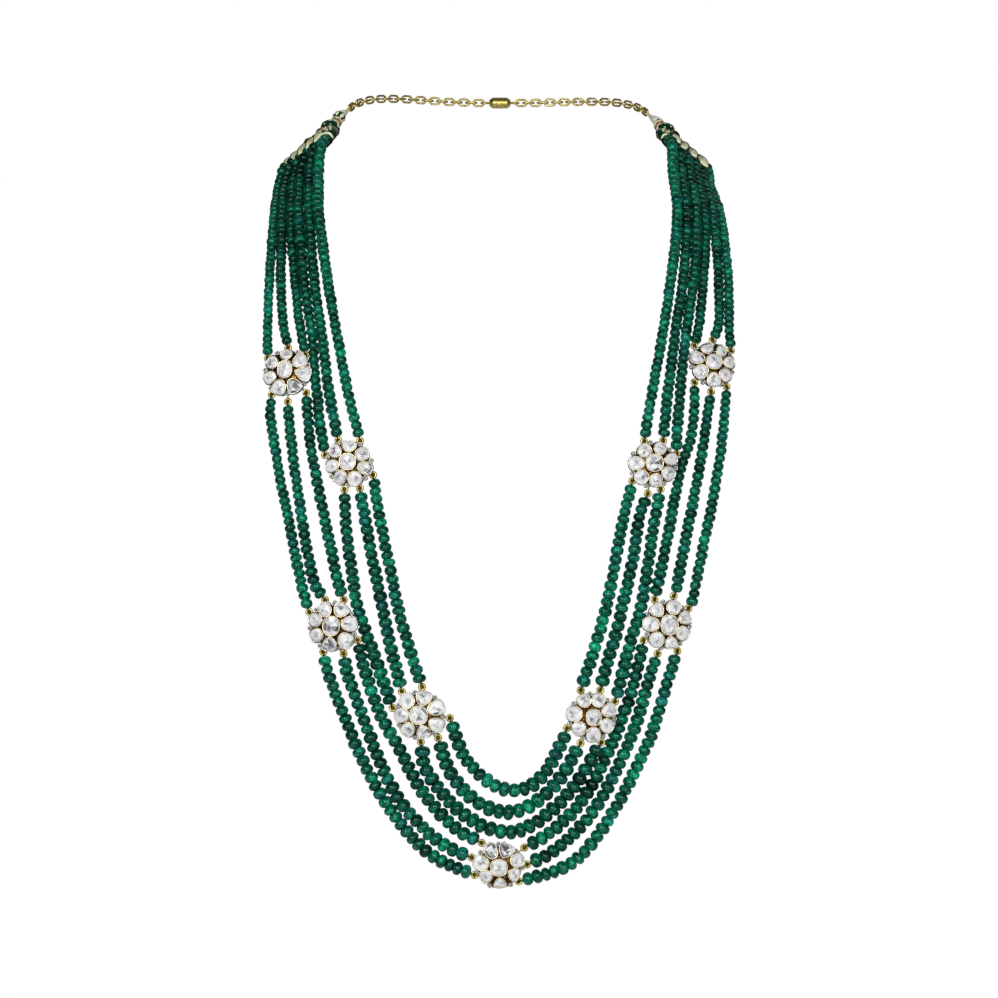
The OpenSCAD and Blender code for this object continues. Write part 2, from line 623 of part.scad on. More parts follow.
bead_string(1);  // bead_string_1
bead_string(2);  // bead_string_2
bead_string(3);  // bead_string_3
bead_string(4);  // bead_string_4
bead_string(5);  // bead_string_5
bead_string(6);  // bead_string_6
setting(1);  // station_1
setting(2);  // station_2
setting(3);  // station_3
setting(4);  // station_4
setting(5);  // station_5
setting(6);  // station_6
setting(7);  // station_7
setting(8);  // station_8
setting(9);  // station_9
centre_stone(1);  // centre_stone_1
centre_stone(2);  // centre_stone_2
centre_stone(3);  // centre_stone_3
centre_stone(4);  // centre_stone_4
centre_stone(5);  // centre_stone_5
centre_stone(6);  // centre_stone_6
centre_stone(7);  // centre_stone_7
centre_stone(8);  // centre_stone_8
centre_stone(9);  // centre_stone_9
petal_stones(1);  // petal_stones_1
petal_stones(2);  // petal_stones_2
petal_stones(3);  // petal_stones_3
petal_stones(4);  // petal_stones_4
petal_stones(5);  // petal_stones_5
petal_stones(6);  // petal_stones_6
petal_stones(7);  // petal_stones_7
petal_stones(8);  // petal_stones_8
petal_stones(9);  // petal_stones_9
spreader(0);  // spreader_left
spreader(1);  // spreader_right
enamel(0);  // enamel_left
enamel(1);  // enamel_right
nape_chain(0);  // nape_chain_left
nape_chain(1);  // nape_chain_right
clasp();
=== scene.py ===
import random
from math import asin, atan, atan2, ceil, copysign, cos, degrees, exp, hypot, pi, radians, sin, tan

import bmesh
import bpy
import numpy as np
from mathutils import Matrix, Vector


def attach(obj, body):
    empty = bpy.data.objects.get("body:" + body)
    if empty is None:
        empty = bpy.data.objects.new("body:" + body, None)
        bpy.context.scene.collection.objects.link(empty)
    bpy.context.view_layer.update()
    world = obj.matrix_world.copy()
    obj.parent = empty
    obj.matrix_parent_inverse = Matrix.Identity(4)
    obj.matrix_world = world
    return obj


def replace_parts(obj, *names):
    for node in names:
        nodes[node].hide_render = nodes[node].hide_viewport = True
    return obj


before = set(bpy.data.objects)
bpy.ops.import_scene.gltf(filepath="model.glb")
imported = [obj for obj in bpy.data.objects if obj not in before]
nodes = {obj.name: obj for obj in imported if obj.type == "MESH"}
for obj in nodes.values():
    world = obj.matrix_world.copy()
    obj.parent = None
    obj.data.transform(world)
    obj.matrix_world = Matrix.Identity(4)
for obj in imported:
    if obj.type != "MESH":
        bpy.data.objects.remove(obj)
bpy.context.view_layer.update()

# Lengths are millimetres in the frame of the solids up to the stage. Shape.piece() turns them into metres
MM = 0.001
rng = random.Random(35)
uniform, gauss = rng.uniform, rng.gauss


# The worn shape
CHEST_DEPTH, CHEST_FALL = 78, 75
COLLAR_DEPTH, COLLAR_FALL = 20, 14
CHEST_R = 350
SHOULDER_Y, SHOULDER_Z, SHOULDER_X = -2, 4, 70
SHOULDER_SLOPE, SHOULDER_FADE = 1.6, 40


def drop(z):
    return max(SHOULDER_Z - z, 0)


def worn(p):
    """The worn surface at p: across, up and, where p has a third number, set back by it."""
    x, z = p[:2]
    s = drop(z)
    y = (SHOULDER_Y
         - CHEST_DEPTH * (1 - exp(-s / CHEST_FALL))
         - COLLAR_DEPTH * (1 - exp(-s / COLLAR_FALL))
         + x * x / (2 * CHEST_R)
         + SHOULDER_SLOPE * max(abs(x) - SHOULDER_X, 0) * exp(-s / SHOULDER_FADE))
    return Vector((x, y + sum(p[2:]), z))


# Flower stations: across, up, middle collet width and height, petals [angle, distance, width
# across, length outwards, point], thread loops [angle, distance], tie wire [angle, reach]
STATIONS = [
    [-97, -116.7, 7.3, 8.5,
     [[91, 6.4, 6.9, 5.5, 0.6], [31, 7.3, 7, 7.4, 0.5], [348, 8.2, 7, 8, 0.8], [301, 8.3, 7.3, 7.3, 0.5],
      [253, 8.2, 7.4, 7.6, 0.4], [206, 7.6, 6.5, 6.8, 0.3], [152, 6.9, 6.7, 6.4, 0.2]],
     [[41, 11.2], [90, 10.6], [148, 11], [314, 14.4], [276, 14.5], [240, 12.8]], [9, 11.6]],
    [-68.4, -158.5, 8, 7.9,
     [[86, 6.7, 7.4, 5.7, 0.5], [28, 7, 6.5, 6.5, 0.2], [341, 8.2, 6.3, 7.3, 0.3], [294, 8, 7.1, 7, 0.2],
      [244, 7.5, 6.5, 7.2, 0.2], [194, 7.2, 6.3, 7, 0.1], [141, 7.3, 6.8, 6.6, 0.3]],
     [[63, 11], [117, 11.2], [163, 11.6], [333, 12.8], [295, 13], [262, 12.4]], [216, 11.1]],
    [-75.6, -232.5, 8.3, 9.3,
     [[113, 7.8, 6.7, 7.3, 0.2], [59, 7.9, 7.5, 6.7, 0.5], [7, 7.9, 7.3, 7.6, 0.4],
      [315, 8.8, 7.7, 7.5, 0.3], [264, 7.9, 7.5, 7, 0.5], [211, 7.8, 6.8, 6.7, 0.1], [160, 7.8, 6.8, 7, 0.1]],
     [[67, 13], [107, 12.4], [150, 12.6], [332, 13.2], [293, 13.4], [250, 12.4]], [13, 12]],
    [-36.3, -272.5, 8.5, 8.7,
     [[130, 8.1, 7.3, 7.5, 0.1], [75, 7.5, 7.6, 7.1, 0.5], [23, 8, 7.3, 8.2, 0.4], [332, 8.5, 7.1, 7.7, 0.5],
      [285, 7.3, 7, 6.5, 0.6], [232, 7.7, 7.1, 6.8, 0.3], [180, 7.4, 7, 7.5, 0.2]],
     [[85, 12.8], [127, 13.4], [165, 12.6], [355, 13.8], [310, 13.2], [273, 12]], [222, 11.3]],
    [-0.5, -340.9, 8.1, 8,
     [[115, 7.9, 6.2, 7.8, 0.2], [67, 7.7, 7.4, 7, 0.7], [21, 8.5, 6.7, 6.8, 0.2], [336, 7, 6.5, 5.8, 0.5],
      [274, 6.4, 6.3, 4.8, 0.7], [214, 6.5, 6.7, 6.2, 0.5], [166, 7.9, 7, 7.7, 0.2]],
     [[125, 13.5], [160, 13], [197, 11.4], [38, 14.6], [6, 12.8], [325, 10.9]], [78, 12]],
    [41.8, -273.5, 7.3, 8,
     [[119, 8.2, 6.5, 6.5, 0.3], [74, 7.6, 6.7, 6.7, 0.2], [24, 7.3, 6.9, 7.3, 0.5], [329, 6.8, 7.1, 7, 0.2],
      [270, 7.5, 7.4, 7.4, 0.2], [217, 7.8, 7, 6.7, 0.2], [169, 8.4, 7.3, 7.5, 0.2]],
     [[202, 12.6], [244, 12.8], [289, 12], [114, 13.4], [74, 12.7], [35, 12.4]], [344, 11.2]],
    [75.9, -232, 8.5, 9.5,
     [[74, 7.9, 7.5, 6.8, 0.2], [23, 7.3, 7, 6.7, 0.7], [329, 7.1, 7.1, 6.7, 0], [277, 7.5, 6.7, 6.3, 0.7],
      [229, 8.4, 7.2, 7.2, 0.1], [177, 8.1, 7, 7.9, 0.1], [129, 8.1, 7, 6.7, 0.6]],
     [[211, 13.3], [249, 13.8], [290, 12.4], [118, 13.1], [78, 13.4], [38, 12.2]], [153, 13.2]],
    [69.3, -159, 8.5, 8.3,
     [[127, 6.7, 6.9, 6.6, 0.2], [66, 6.8, 6.8, 6, 0.3], [12, 7.6, 6.3, 6.7, 0.4], [324, 7.7, 7, 7, 0.2],
      [274, 7.5, 6.6, 6.5, 0.2], [227, 8.4, 6.7, 7, 0.2], [181, 7.9, 6.7, 7.5, 0.2]],
     [[219, 12.7], [258, 14], [285, 12.1], [111, 10.9], [65, 11.5], [22, 11.8]], [330, 12]],
    [96.5, -113.2, 8.1, 7.5,
     [[112, 6.4, 6.7, 5.5, 0.3], [51, 6.1, 6.1, 6, 0.2], [359, 7, 6.4, 6.2, 0.3], [311, 7.7, 6.2, 6.9, 0.2],
      [267, 7.8, 6.8, 6.8, 0.4], [216, 7.3, 6.8, 7.3, 0.3], [166, 7.5, 6.2, 7.3, 0.3]],
     [[225, 12.8], [264, 13.5], [299, 12.6], [135, 11.2], [85, 10.6], [32, 11]], [167, 11.5]]
]

# End spreaders: socket of string 1, socket of string 6, tip of the axis, side
SPREADERS = [[[80.5, -12, -8.5], [98.5, 3, -19.5], [72, 32, 7], -1],
             [[77.5, -12, -8.5], [96.5, 3, -21], [69.5, 35, 6], 1]]

# Routes of the strings, one list for each stretch: [across, up] or [across, up, set back]
ROUTES = [
    [[[-83.8, -24], [-83.5, -40], [-81.6, -56], [-77.7, -80], [-74, -100.5], [-69, -126]],
     [[-54.9, -180], [-50.5, -202], [-45.5, -226], [-40.6, -243]],
     [[-16.2, -290.7], [-8.2, -299.9], [0, -305], [7, -306.2], [14.3, -304], [21.8, -296.2], [27.5, -285.5]],
     [[42.8, -242], [46.2, -230], [49.8, -216], [52.6, -200], [56.2, -182]],
     [[68.7, -128], [73.9, -100.5], [78.2, -73], [80.5, -56], [81.3, -40], [79.9, -24]]],
    [[[-88.4, -24], [-88.5, -40], [-87, -56], [-84.6, -78], [-80.9, -101], [-77.3, -128]],
     [[-60.5, -186], [-57.5, -202.5], [-53.5, -222], [-49, -243], [-46.5, -252]],
     [[-23.2, -296.7], [-15.4, -307.3], [-5.4, -314.2], [6, -315.9], [16.2, -311.3], [27, -301]],
     [[49, -247], [53, -233], [57, -216], [60.5, -200], [63, -183]],
     [[76, -128], [79.5, -101], [83.2, -78], [85.5, -56], [86, -40], [84, -24]]],
    [[[-92.4, -24], [-92.5, -40], [-91.3, -56], [-88.8, -80], [-85.9, -98, 2.9], [-85, -108, 4.5],
      [-84.6, -116, 4.5], [-83, -128, 3], [-81.8, -140, 1.4]],
     [[-69.5, -187], [-67.5, -204], [-64.9, -221, 2.5], [-60.9, -235, 4.9], [-56, -248, 2]],
     [[-33.5, -297, 1], [-25.2, -308.8, 0.6], [-14, -318.6], [-3, -324], [8, -324.5], [20, -318],
      [33, -305, 0.6]],
     [[55.7, -252], [59.6, -238, 2.5], [63.8, -224, 4], [67.1, -203], [69.4, -187]],
     [[80.4, -141], [81.8, -127], [83.2, -112], [85.3, -95], [89, -70], [90, -52], [89.8, -38], [87.4, -25]]],
    [[[-95.6, -25, 1.6], [-96.3, -40, 0.9], [-95.5, -56, 0.5], [-93.5, -76, 1.2], [-91.5, -94, 1]],
     [[-87.3, -135], [-85.9, -151], [-83.2, -165], [-78.5, -188], [-73, -213]],
     [[-60, -255.5], [-54, -272], [-45, -288.5], [-37, -303.5], [-27, -316.7], [-19, -324]],
     [[21.5, -326], [33.5, -315.3, 1.2], [42.6, -302, 2.4], [51.2, -284, 4.6], [55, -273.5, 4.4],
      [59.2, -263, 3.4], [61.9, -252, 1.8]],
     [[73, -206], [76.6, -188, 1.5], [79.9, -171, 3.8], [82.3, -160, 4.2], [86.2, -149, 2.2], [88, -137]],
     [[90.8, -95, 1.6], [92.8, -76, 1.4], [94.4, -56, 0.3], [94, -40, 0.3], [91.2, -26, 0.6]]],
    [[[-99, -27, 3], [-100, -40, 0.7], [-100.1, -56], [-100.2, -75], [-98.7, -95]],
     [[-94.9, -148], [-91.7, -170], [-88, -194], [-84, -213]],
     [[-68.5, -255], [-62.3, -272], [-55, -291.5], [-46, -309.5], [-35, -322.8], [-25.5, -330.7]],
     [[22, -335], [33.3, -325.7], [44.2, -312.5], [54.2, -293.5], [61.7, -275.5], [67.6, -255]],
     [[80.3, -213], [84.3, -192], [88, -173], [92, -152], [94, -138]],
     [[99.8, -95], [100, -75], [99.2, -56], [97.8, -40, 0.7], [94.6, -28, 3]]],
    [[[-102.6, -31, 5], [-103.7, -42, 1.5], [-104.7, -56], [-105.5, -75], [-106, -95]],
     [[-104.3, -137], [-100.8, -160], [-95.7, -185], [-89.7, -214]],
     [[-77.5, -254], [-69.4, -275.2], [-59.5, -298], [-48.4, -316.6, 2.2], [-35.4, -331.9, 2],
      [-24.8, -339, 0.9]],
     [[25, -342.5], [36.3, -335.8], [48, -321], [59.2, -301], [68.2, -281.5], [75.2, -259]],
     [[87.2, -220], [91.9, -197], [96.2, -177], [99.9, -155], [102.1, -136]],
     [[104.5, -95], [104.5, -75], [103, -56], [100.9, -42, 1.5], [97.7, -31, 5]]]
]


# Building meshes
def put(name, data):
    """A new object in the scene."""
    o = bpy.data.objects.new(name, data)
    bpy.context.scene.collection.objects.link(o)
    return o


class Shape:
    """Points and faces, with their materials, smoothness and tones, that add up to one piece."""

    def __init__(self):
        self.v, self.f, self.m, self.s, self.t = [], [], [], [], []

    def add(self, made, material, matrix=Matrix.Identity(4), tone=(0.5, 0.5, 0.5, 1), smooth=True):
        """Add a shape. Its tone is one for all, a list with one a point, or "corners" and a list a face."""
        verts, faces = made
        n = len(self.v)
        flip = matrix.determinant() < 0
        self.v += [matrix @ Vector(p) for p in verts]
        self.m += [material] * len(faces)
        self.s += [smooth] * len(faces)
        for k, f in enumerate(faces):
            order = f[::-1] if flip else f
            self.f.append([i + n for i in order])
            if isinstance(tone, tuple):
                self.t += [tone] * len(f)
            elif tone[0] == "corners":
                self.t += tone[k + 1][::-1] if flip else tone[k + 1]
            else:
                self.t += [tone[i] for i in order]

    def piece(self, name, slot):
        me = bpy.data.meshes.new(name)
        me.from_pydata([p * MM for p in self.v], [], self.f)
        number = {m: k for k, m in enumerate(dict.fromkeys(self.m))}
        for m in number:
            me.materials.append(m)
        me.polygons.foreach_set("material_index", [number[m] for m in self.m])
        me.polygons.foreach_set("use_smooth", self.s)
        layer = me.attributes.new("tone", "FLOAT_COLOR", "CORNER")
        layer.data.foreach_set("color", np.array(self.t, np.float32).ravel())
        me.update()
        o = put(name, me)
        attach(o, "root")
        return o


def clamp(v, low=0.0, high=1.0):
    return min(max(v, low), high)


def angles(number):
    """The angles of that many points round a circle."""
    return [2 * pi * k / number for k in range(number)]


def power(v, p):
    """The power of a number's size, with its sign."""
    return copysign(abs(v) ** p, v)


def tube_faces(rings, sides, loop=False):
    """Faces of a tube whose rings of points follow each other, with its two ends closed."""
    faces = []
    for i in range(rings if loop else rings - 1):
        a, b = i * sides, ((i + 1) % rings) * sides
        for k in range(sides):
            n = (k + 1) % sides
            faces.append([a + k, a + n, b + n, b + k])
    if not loop:
        faces.append(list(range(sides))[::-1])
        faces.append([(rings - 1) * sides + k for k in range(sides)])
    return faces


def turned(profile, sides, axis="Z"):
    """A closed body turned about an axis from rows of [radius, height], bottom first."""
    verts = []
    for r, h in profile:
        for a in angles(sides):
            c, s = r * cos(a), r * sin(a)
            verts.append((c, s, h) if axis == "Z" else (s, h, c))
    return verts, tube_faces(len(profile), sides)


def ball(r, sides, rows, squash=1.0):
    tilts = [pi * (i / rows - 0.5) for i in range(rows + 1)]
    return turned([(max(r * cos(a), 0.02 * r), r * squash * sin(a)) for a in tilts], sides)


def drilled_ball(y, r, long, sides, rows):
    """A large bead about Y, with flat ends."""
    tilts = np.linspace(-1.5, 1.5, rows)
    return turned([(max(r * cos(a), 0.1), y + long * r * sin(a)) for a in tilts], sides, "Y")


def torus(major, minor, around, sides):
    verts = []
    for a in angles(around):
        for b in angles(sides):
            r = major + minor * cos(b)
            verts.append((r * cos(a), r * sin(a), minor * sin(b)))
    return verts, tube_faces(around, sides, loop=True)


def pipe(points, radius, sides):
    """A round wire along points, with one radius or a list of them."""
    pts = [Vector(p) for p in points]
    last = len(pts) - 1
    verts, up = [], None
    for i, p in enumerate(pts):
        t = (pts[min(i + 1, last)] - pts[max(i - 1, 0)]).normalized()
        if up is None:
            up = Vector((0, 0, 1)) if abs(t.z) < 0.9 else Vector((0, 1, 0))
        u = t.cross(up).normalized()
        up = u.cross(t)
        r = float(radius[i] if isinstance(radius, list) else radius)
        verts += [p + r * (cos(a) * u + sin(a) * up) for a in angles(sides)]
    return verts, tube_faces(last + 1, sides)


def basis(x, y, z, at):
    """Matrix that takes the axes to x, y and z, and the origin to at."""
    m = Matrix.Identity(4)
    for k, v in enumerate((x, y, z, at)):
        for r in range(3):
            m[r][k] = v[r]
    return m


def move(x, y, z=0):
    return Matrix.Translation((x, y, z))


def turn(angle, axis="Z"):
    return Matrix.Rotation(radians(angle), 4, axis)


# Materials
BUMP_DEPTH = 0.0002


def fill(n, **values):
    """Set sockets of a node. An underscore stands for a space in a socket's name."""
    for socket, value in values.items():
        n.inputs[socket.replace("_", " ")].default_value = value
    return n


def node(nt, kind, **values):
    return fill(nt.nodes.new("ShaderNode" + kind), **values)


def material(name, color, rough, IOR=1.5, **values):
    """A new material, its nodes and its shader."""
    m = bpy.data.materials.new(name)
    m.use_nodes = True
    b = fill(m.node_tree.nodes["Principled BSDF"], Base_Color=(*color, 1), Roughness=rough, IOR=IOR, **values)
    return m, m.node_tree, b


def noise(nt, scale, detail=3.0, rough=0.55, distortion=0.0):
    """Noise that is fixed to the object, with its scale per metre."""
    n = node(nt, "TexNoise", Scale=scale, Detail=detail, Roughness=rough, Distortion=distortion)
    nt.links.new(node(nt, "TexCoord").outputs["Object"], n.inputs["Vector"])
    return n.outputs["Fac"]


def ramp(nt, value, stops):
    """Colours at places along a value. A bare number stands for a grey."""
    r = node(nt, "ValToRGB")
    e = r.color_ramp.elements
    while len(e) < len(stops):
        e.new(0.5)
    for k, (at, color) in enumerate(stops):
        e[k].position = at
        e[k].color = (*color, 1) if isinstance(color, tuple) else (color, color, color, 1)
    nt.links.new(value, r.inputs["Fac"])
    return r.outputs["Color"]


def mix(nt, a, b, fac, kind="MIX"):
    n = node(nt, "Mix")
    n.data_type = "RGBA"
    n.blend_type = kind
    for socket, value in ((n.inputs[6], a), (n.inputs[7], b), (n.inputs[0], fac)):
        if isinstance(value, (int, float)):
            socket.default_value = value
        elif isinstance(value, tuple):
            socket.default_value = (*value, 1)
        else:
            nt.links.new(value, socket)
    return n.outputs[2]


def times(nt, a, b):
    return mix(nt, a, b, 1.0, "MULTIPLY")


def spread(nt, value, low, high):
    r = node(nt, "MapRange", To_Min=low, To_Max=high)
    nt.links.new(value, r.inputs["Value"])
    return r.outputs["Result"]


def bump(nt, bsdf, height, strength):
    n = node(nt, "Bump", Strength=strength, Distance=BUMP_DEPTH)
    nt.links.new(height, n.inputs["Height"])
    nt.links.new(n.outputs["Normal"], bsdf.inputs["Normal"])


def paint(nt, bsdf, color, rough=None):
    """Join a colour to the shader, and a roughness if it wanders."""
    nt.links.new(color, bsdf.inputs["Base Color"])
    if rough is not None:
        nt.links.new(rough, bsdf.inputs["Roughness"])


def tone_of(nt):
    a = node(nt, "Attribute")
    a.attribute_name = "tone"
    s = node(nt, "SeparateColor")
    nt.links.new(a.outputs["Color"], s.inputs["Color"])
    return s.outputs["Red"], s.outputs["Green"], s.outputs["Blue"]


def bead_material():
    """Cloudy emerald. The tone holds each bead's lightness and how blue its green is."""
    m, nt, b = material("green_stone", (0.01, 0.09, 0.05), 0.25, Specular_IOR_Level=0.44,
                        Specular_Tint=(0.62, 1.0, 0.86, 1))
    tone, hue, _ = tone_of(nt)
    green = ramp(nt, tone, [(0.0, (0.0003, 0.018, 0.009)), (0.35, (0.001, 0.085, 0.043)),
                            (0.7, (0.002, 0.2, 0.102)), (1.0, (0.005, 0.42, 0.22))])
    teal = ramp(nt, tone, [(0.0, (0.0005, 0.02, 0.017)), (0.5, (0.003, 0.11, 0.085)),
                           (1.0, (0.012, 0.3, 0.22))])
    cloud = ramp(nt, noise(nt, 450, 4, 0.6, 0.6), [(0.37, 0.26), (0.5, 0.84), (0.64, 2.05)])
    veins = ramp(nt, noise(nt, 1500, 3, 0.65, 1.5), [(0.35, 0.68), (0.6, 1.08), (0.8, 1.6)])
    paint(nt, b, times(nt, times(nt, mix(nt, green, teal, hue), cloud), veins),
          spread(nt, noise(nt, 900), 0.05, 0.2))
    bump(nt, b, noise(nt, 700, 2), 0.12)
    return m


def two_tone(name, low, high, rough, scale, bump_scale, strength, **values):
    """A plain material that wanders between two colours, with a fine relief."""
    m, nt, b = material(name, high, rough, **values)
    paint(nt, b, ramp(nt, noise(nt, *scale), [(0.3, low), (0.7, high)]))
    bump(nt, b, noise(nt, bump_scale, 2), strength)
    return m


def enamel_material(name, low, high, rough=0.3):
    return two_tone(name, low, high, rough, (500, 3), 1200, 0.15, Coat_Weight=0.12, Coat_Roughness=0.12,
                    Specular_IOR_Level=0.3)


def metal_material(name, low, mid, high, rough, scale=900, strength=0.25, metallic=1.0):
    """Hand-worked metal: its colour and gloss wander a little, with fine tool marks."""
    m, nt, b = material(name, mid, rough, Metallic=metallic)
    paint(nt, b, ramp(nt, noise(nt, scale, 4), [(0.25, low), (0.5, mid), (0.75, high)]),
          spread(nt, noise(nt, scale * 0.7, 2), rough * 0.7, rough * 1.5))
    bump(nt, b, noise(nt, scale * 1.6, 3), strength)
    return m


def setting_material():
    """Collets: pale gold near the middle, silver outside, dark brown patina and painted shade in the gaps,
    black painted shade along the edge of each wall.
    """
    m, nt, b = material("setting_metal", (0.8, 0.7, 0.5), 0.24, Metallic=1.0)
    # Tone channels: silver share, patina and painted shade in the gaps, black painted shade along the walls
    out, depth, edge = tone_of(nt)
    gold = ramp(nt, noise(nt, 1100, 3), [(0.3, (0.62, 0.47, 0.23)), (0.7, (0.98, 0.9, 0.7))])
    silver = ramp(nt, noise(nt, 1100, 3), [(0.3, (0.5, 0.49, 0.47)), (0.7, (0.93, 0.92, 0.9))])
    brown = ramp(nt, noise(nt, 900, 3), [(0.35, (0.012, 0.005, 0.001)), (0.55, (0.065, 0.028, 0.005)),
                                        (0.72, (0.34, 0.18, 0.035))])
    patina_and_shade = mix(nt, mix(nt, gold, silver, out), brown, depth)
    paint(nt, b, mix(nt, patina_and_shade, (0.03, 0.026, 0.022), edge), spread(nt, noise(nt, 800, 2), 0.18, 0.36))
    bump(nt, b, noise(nt, 1800, 3), 0.2)
    return m


def stone_material():
    """Clear foiled stone: each facet has its own grey, a painted reflection, with cloudy patches inside."""
    m, nt, b = material("clear_stone", (0.8, 0.81, 0.83), 0.1, 1.45, Coat_Weight=0.3, Coat_Roughness=0.06)
    tone, patch, _ = tone_of(nt)
    # Each facet's grey stands in for what it reflects: painted reflection
    facet = ramp(nt, tone, [(0.0, (0.02, 0.02, 0.022)), (0.25, (0.12, 0.12, 0.13)),
                            (0.5, (0.36, 0.365, 0.38)), (0.75, (0.64, 0.645, 0.66)),
                            (1.0, (0.95, 0.955, 0.96))])
    cloud = ramp(nt, noise(nt, 520, 3, 0.5, 0.5), [(0.34, 0.45), (0.48, 0.85), (0.6, 1.04)])
    paint(nt, b, mix(nt, facet, times(nt, facet, cloud), patch))
    return m


BEAD = bead_material()
THREAD = two_tone("green_thread", (0.001, 0.018, 0.01), (0.006, 0.07, 0.035), 0.8, (5000, 2), 4000, 0.5,
                  Specular_IOR_Level=0.2)
KNOT = two_tone("green_knot", (0.003, 0.09, 0.045), (0.015, 0.28, 0.13), 0.75, (4000, 2), 4500, 0.6,
                Specular_IOR_Level=0.2)
SETTING = setting_material()
STONE = stone_material()
# Metals: dark, middle and light colour, roughness
GOLD = metal_material("yellow_gold", (0.27, 0.18, 0.03), (0.64, 0.5, 0.13), (0.94, 0.83, 0.38), 0.27,
                      metallic=0.88)
LOOP_GOLD = metal_material("loop_gold", (0.12, 0.08, 0.01), (0.5, 0.4, 0.11), (0.88, 0.79, 0.36), 0.3,
                           metallic=0.88)
CREAM = metal_material("cream_gold", (0.5, 0.51, 0.25), (0.87, 0.88, 0.56), (0.98, 0.98, 0.8), 0.36,
                            700, 0.3, 0.2)
SILVER = metal_material("silver", (0.45, 0.44, 0.43), (0.74, 0.73, 0.72), (0.92, 0.92, 0.91), 0.24)
BRONZE = metal_material("dark_bronze", (0.006, 0.004, 0.001), (0.035, 0.022, 0.006), (0.16, 0.11, 0.03), 0.42,
                        700, 0.5)
LOOP_SHADE = metal_material("loop_shade", (0.02, 0.012, 0.002), (0.1, 0.065, 0.01), (0.3, 0.22, 0.05), 0.5,
                            1500, 0.5)
GREEN = enamel_material("green_enamel", (0.001, 0.014, 0.009), (0.003, 0.06, 0.036))
RED = enamel_material("red_enamel", (0.2, 0.06, 0.03), (0.5, 0.22, 0.13))
PINK = enamel_material("pink_enamel", (0.34, 0.16, 0.1), (0.66, 0.42, 0.3), 0.35)
WHITE = enamel_material("white_enamel", (0.68, 0.69, 0.56), (0.93, 0.93, 0.84))


# Places
STRINGS, LOOPS_A_SIDE = 6, 3
SEAT_GAP = 0.25
LOOP_R, LOOP_WIRE = 1.3, 0.55
LOOP_REACH = LOOP_R + LOOP_WIRE + SEAT_GAP
# A string's end up its socket's axis, and where it has left the socket
TUCK_IN, LEAD_OUT = 0.9, -5.6
# How much of the outer half of each spreader's mouth is drawn in
OUTER_DRAW = [0, 0.2]


def station_frame(i):
    """Matrix of a station's own frame: X across, Y up its face, Z outwards."""
    x, z = STATIONS[i - 1][:2]
    lean = degrees(atan(CHEST_DEPTH / CHEST_FALL * exp(-drop(z) / CHEST_FALL)))
    yaw = degrees(atan(x / CHEST_R))
    return Matrix.Translation(worn([x, z])) @ turn(yaw) @ turn(90 - lean, "X")


def loop_at(i, k):
    a, d = STATIONS[i - 1][5][k]
    return station_frame(i) @ turn(a) @ Vector((d, 0, 0))


def spreader_frame(s):
    """Matrix of a spreader's own frame: X along the sockets, Y to the tip, Z outwards."""
    first, last, tip = (Vector(p) for p in SPREADERS[s][:3])
    o = (first + last) / 2
    x = (last - first).normalized()
    d = tip - o
    y = (d - d.dot(x) * x).normalized()
    return Matrix.Diagonal((SPREADERS[s][3], 1, 1, 1)) @ basis(x, y, x.cross(y), o)


def row_length(s):
    return (Vector(SPREADERS[s][1]) - Vector(SPREADERS[s][0])).length


def in_socket(s, j, y):
    """The point y up the axis of string j's socket."""
    x = ((j - 1) / (STRINGS - 1) - 0.5) * row_length(s)
    return spreader_frame(s) @ Vector((x * (1 - OUTER_DRAW[s]) if x > 0 else x, y, 0))


def stops(j):
    return [2, 4, 6, 8] if j <= LOOPS_A_SIDE else [1, 3, 5, 7, 9]


def stretch(j, n):
    """Points of one stretch of a string, and the loops at its two ends, if any."""
    at, k = stops(j), (j - 1) % LOOPS_A_SIDE
    middle = [worn(p) for p in ROUTES[j - 1][n]]
    loops = [(at[n - 1], LOOPS_A_SIDE + k) if n > 0 else None, (at[n], k) if n < len(at) else None]
    ends = []
    for s, (loop, p) in enumerate(zip(loops, (middle[0], middle[-1]))):
        if loop:
            c = loop_at(*loop)
            ends.append([c + LOOP_REACH * (p - c).normalized()])
        else:
            ends.append([in_socket(s, j, y) for y in (LEAD_OUT, TUCK_IN)])
    return ends[0][::-1] + middle + ends[1], *loops


# Strings of beads
def smooth_curve(p, step=0.5):
    """Points about a step apart on the smooth curve through p, with the length up to each."""
    out, last = [], len(p) - 1
    for i in range(last):
        a, b, c, d = p[max(i - 1, 0)], p[i], p[i + 1], p[min(i + 2, last)]
        n = max(1, ceil((c - b).length / step))
        for k in range(n):
            t = k / n
            out.append(0.5 * (2 * b + (c - a) * t + (2 * a - 5 * b + 4 * c - d) * t * t
                              + (3 * b - a - 3 * c + d) * t ** 3))
    out.append(p[last])
    run = [0.0]
    for k in range(1, len(out)):
        run.append(run[-1] + (out[k] - out[k - 1]).length)
    return out, run


def along(points, run, s):
    """Place and direction at a length along a curve."""
    k = clamp(int(np.searchsorted(run, s)), 1, len(run) - 1)
    f = (s - run[k - 1]) / max(run[k] - run[k - 1], 1e-6)
    lo, hi = max(k - 3, 0), min(k + 2, len(run) - 1)
    return points[k - 1].lerp(points[k], f), (points[hi] - points[lo]).normalized()


# Bead width from the shoulders down and by string, and how much of it a bead takes up along the string
GRADE_TOP_Z, GRADE_FALL = -40, 270
WIDTH_TOP, WIDTH_GAIN, WIDTH_POWER = 4.75, 2.1, 1.5
STRING_WIDTH = [1.0, 1.035, 1.03, 0.98, 0.97, 0.935]
PITCH, OVERLAP = 0.655, 1.09
# Beads near the spreaders are wider by this much
TOP_EXTRA, TOP_Z, TOP_FADE = [0.7, 0.5, 0.35, 0.3, 0.3, 0.35], -50, 40
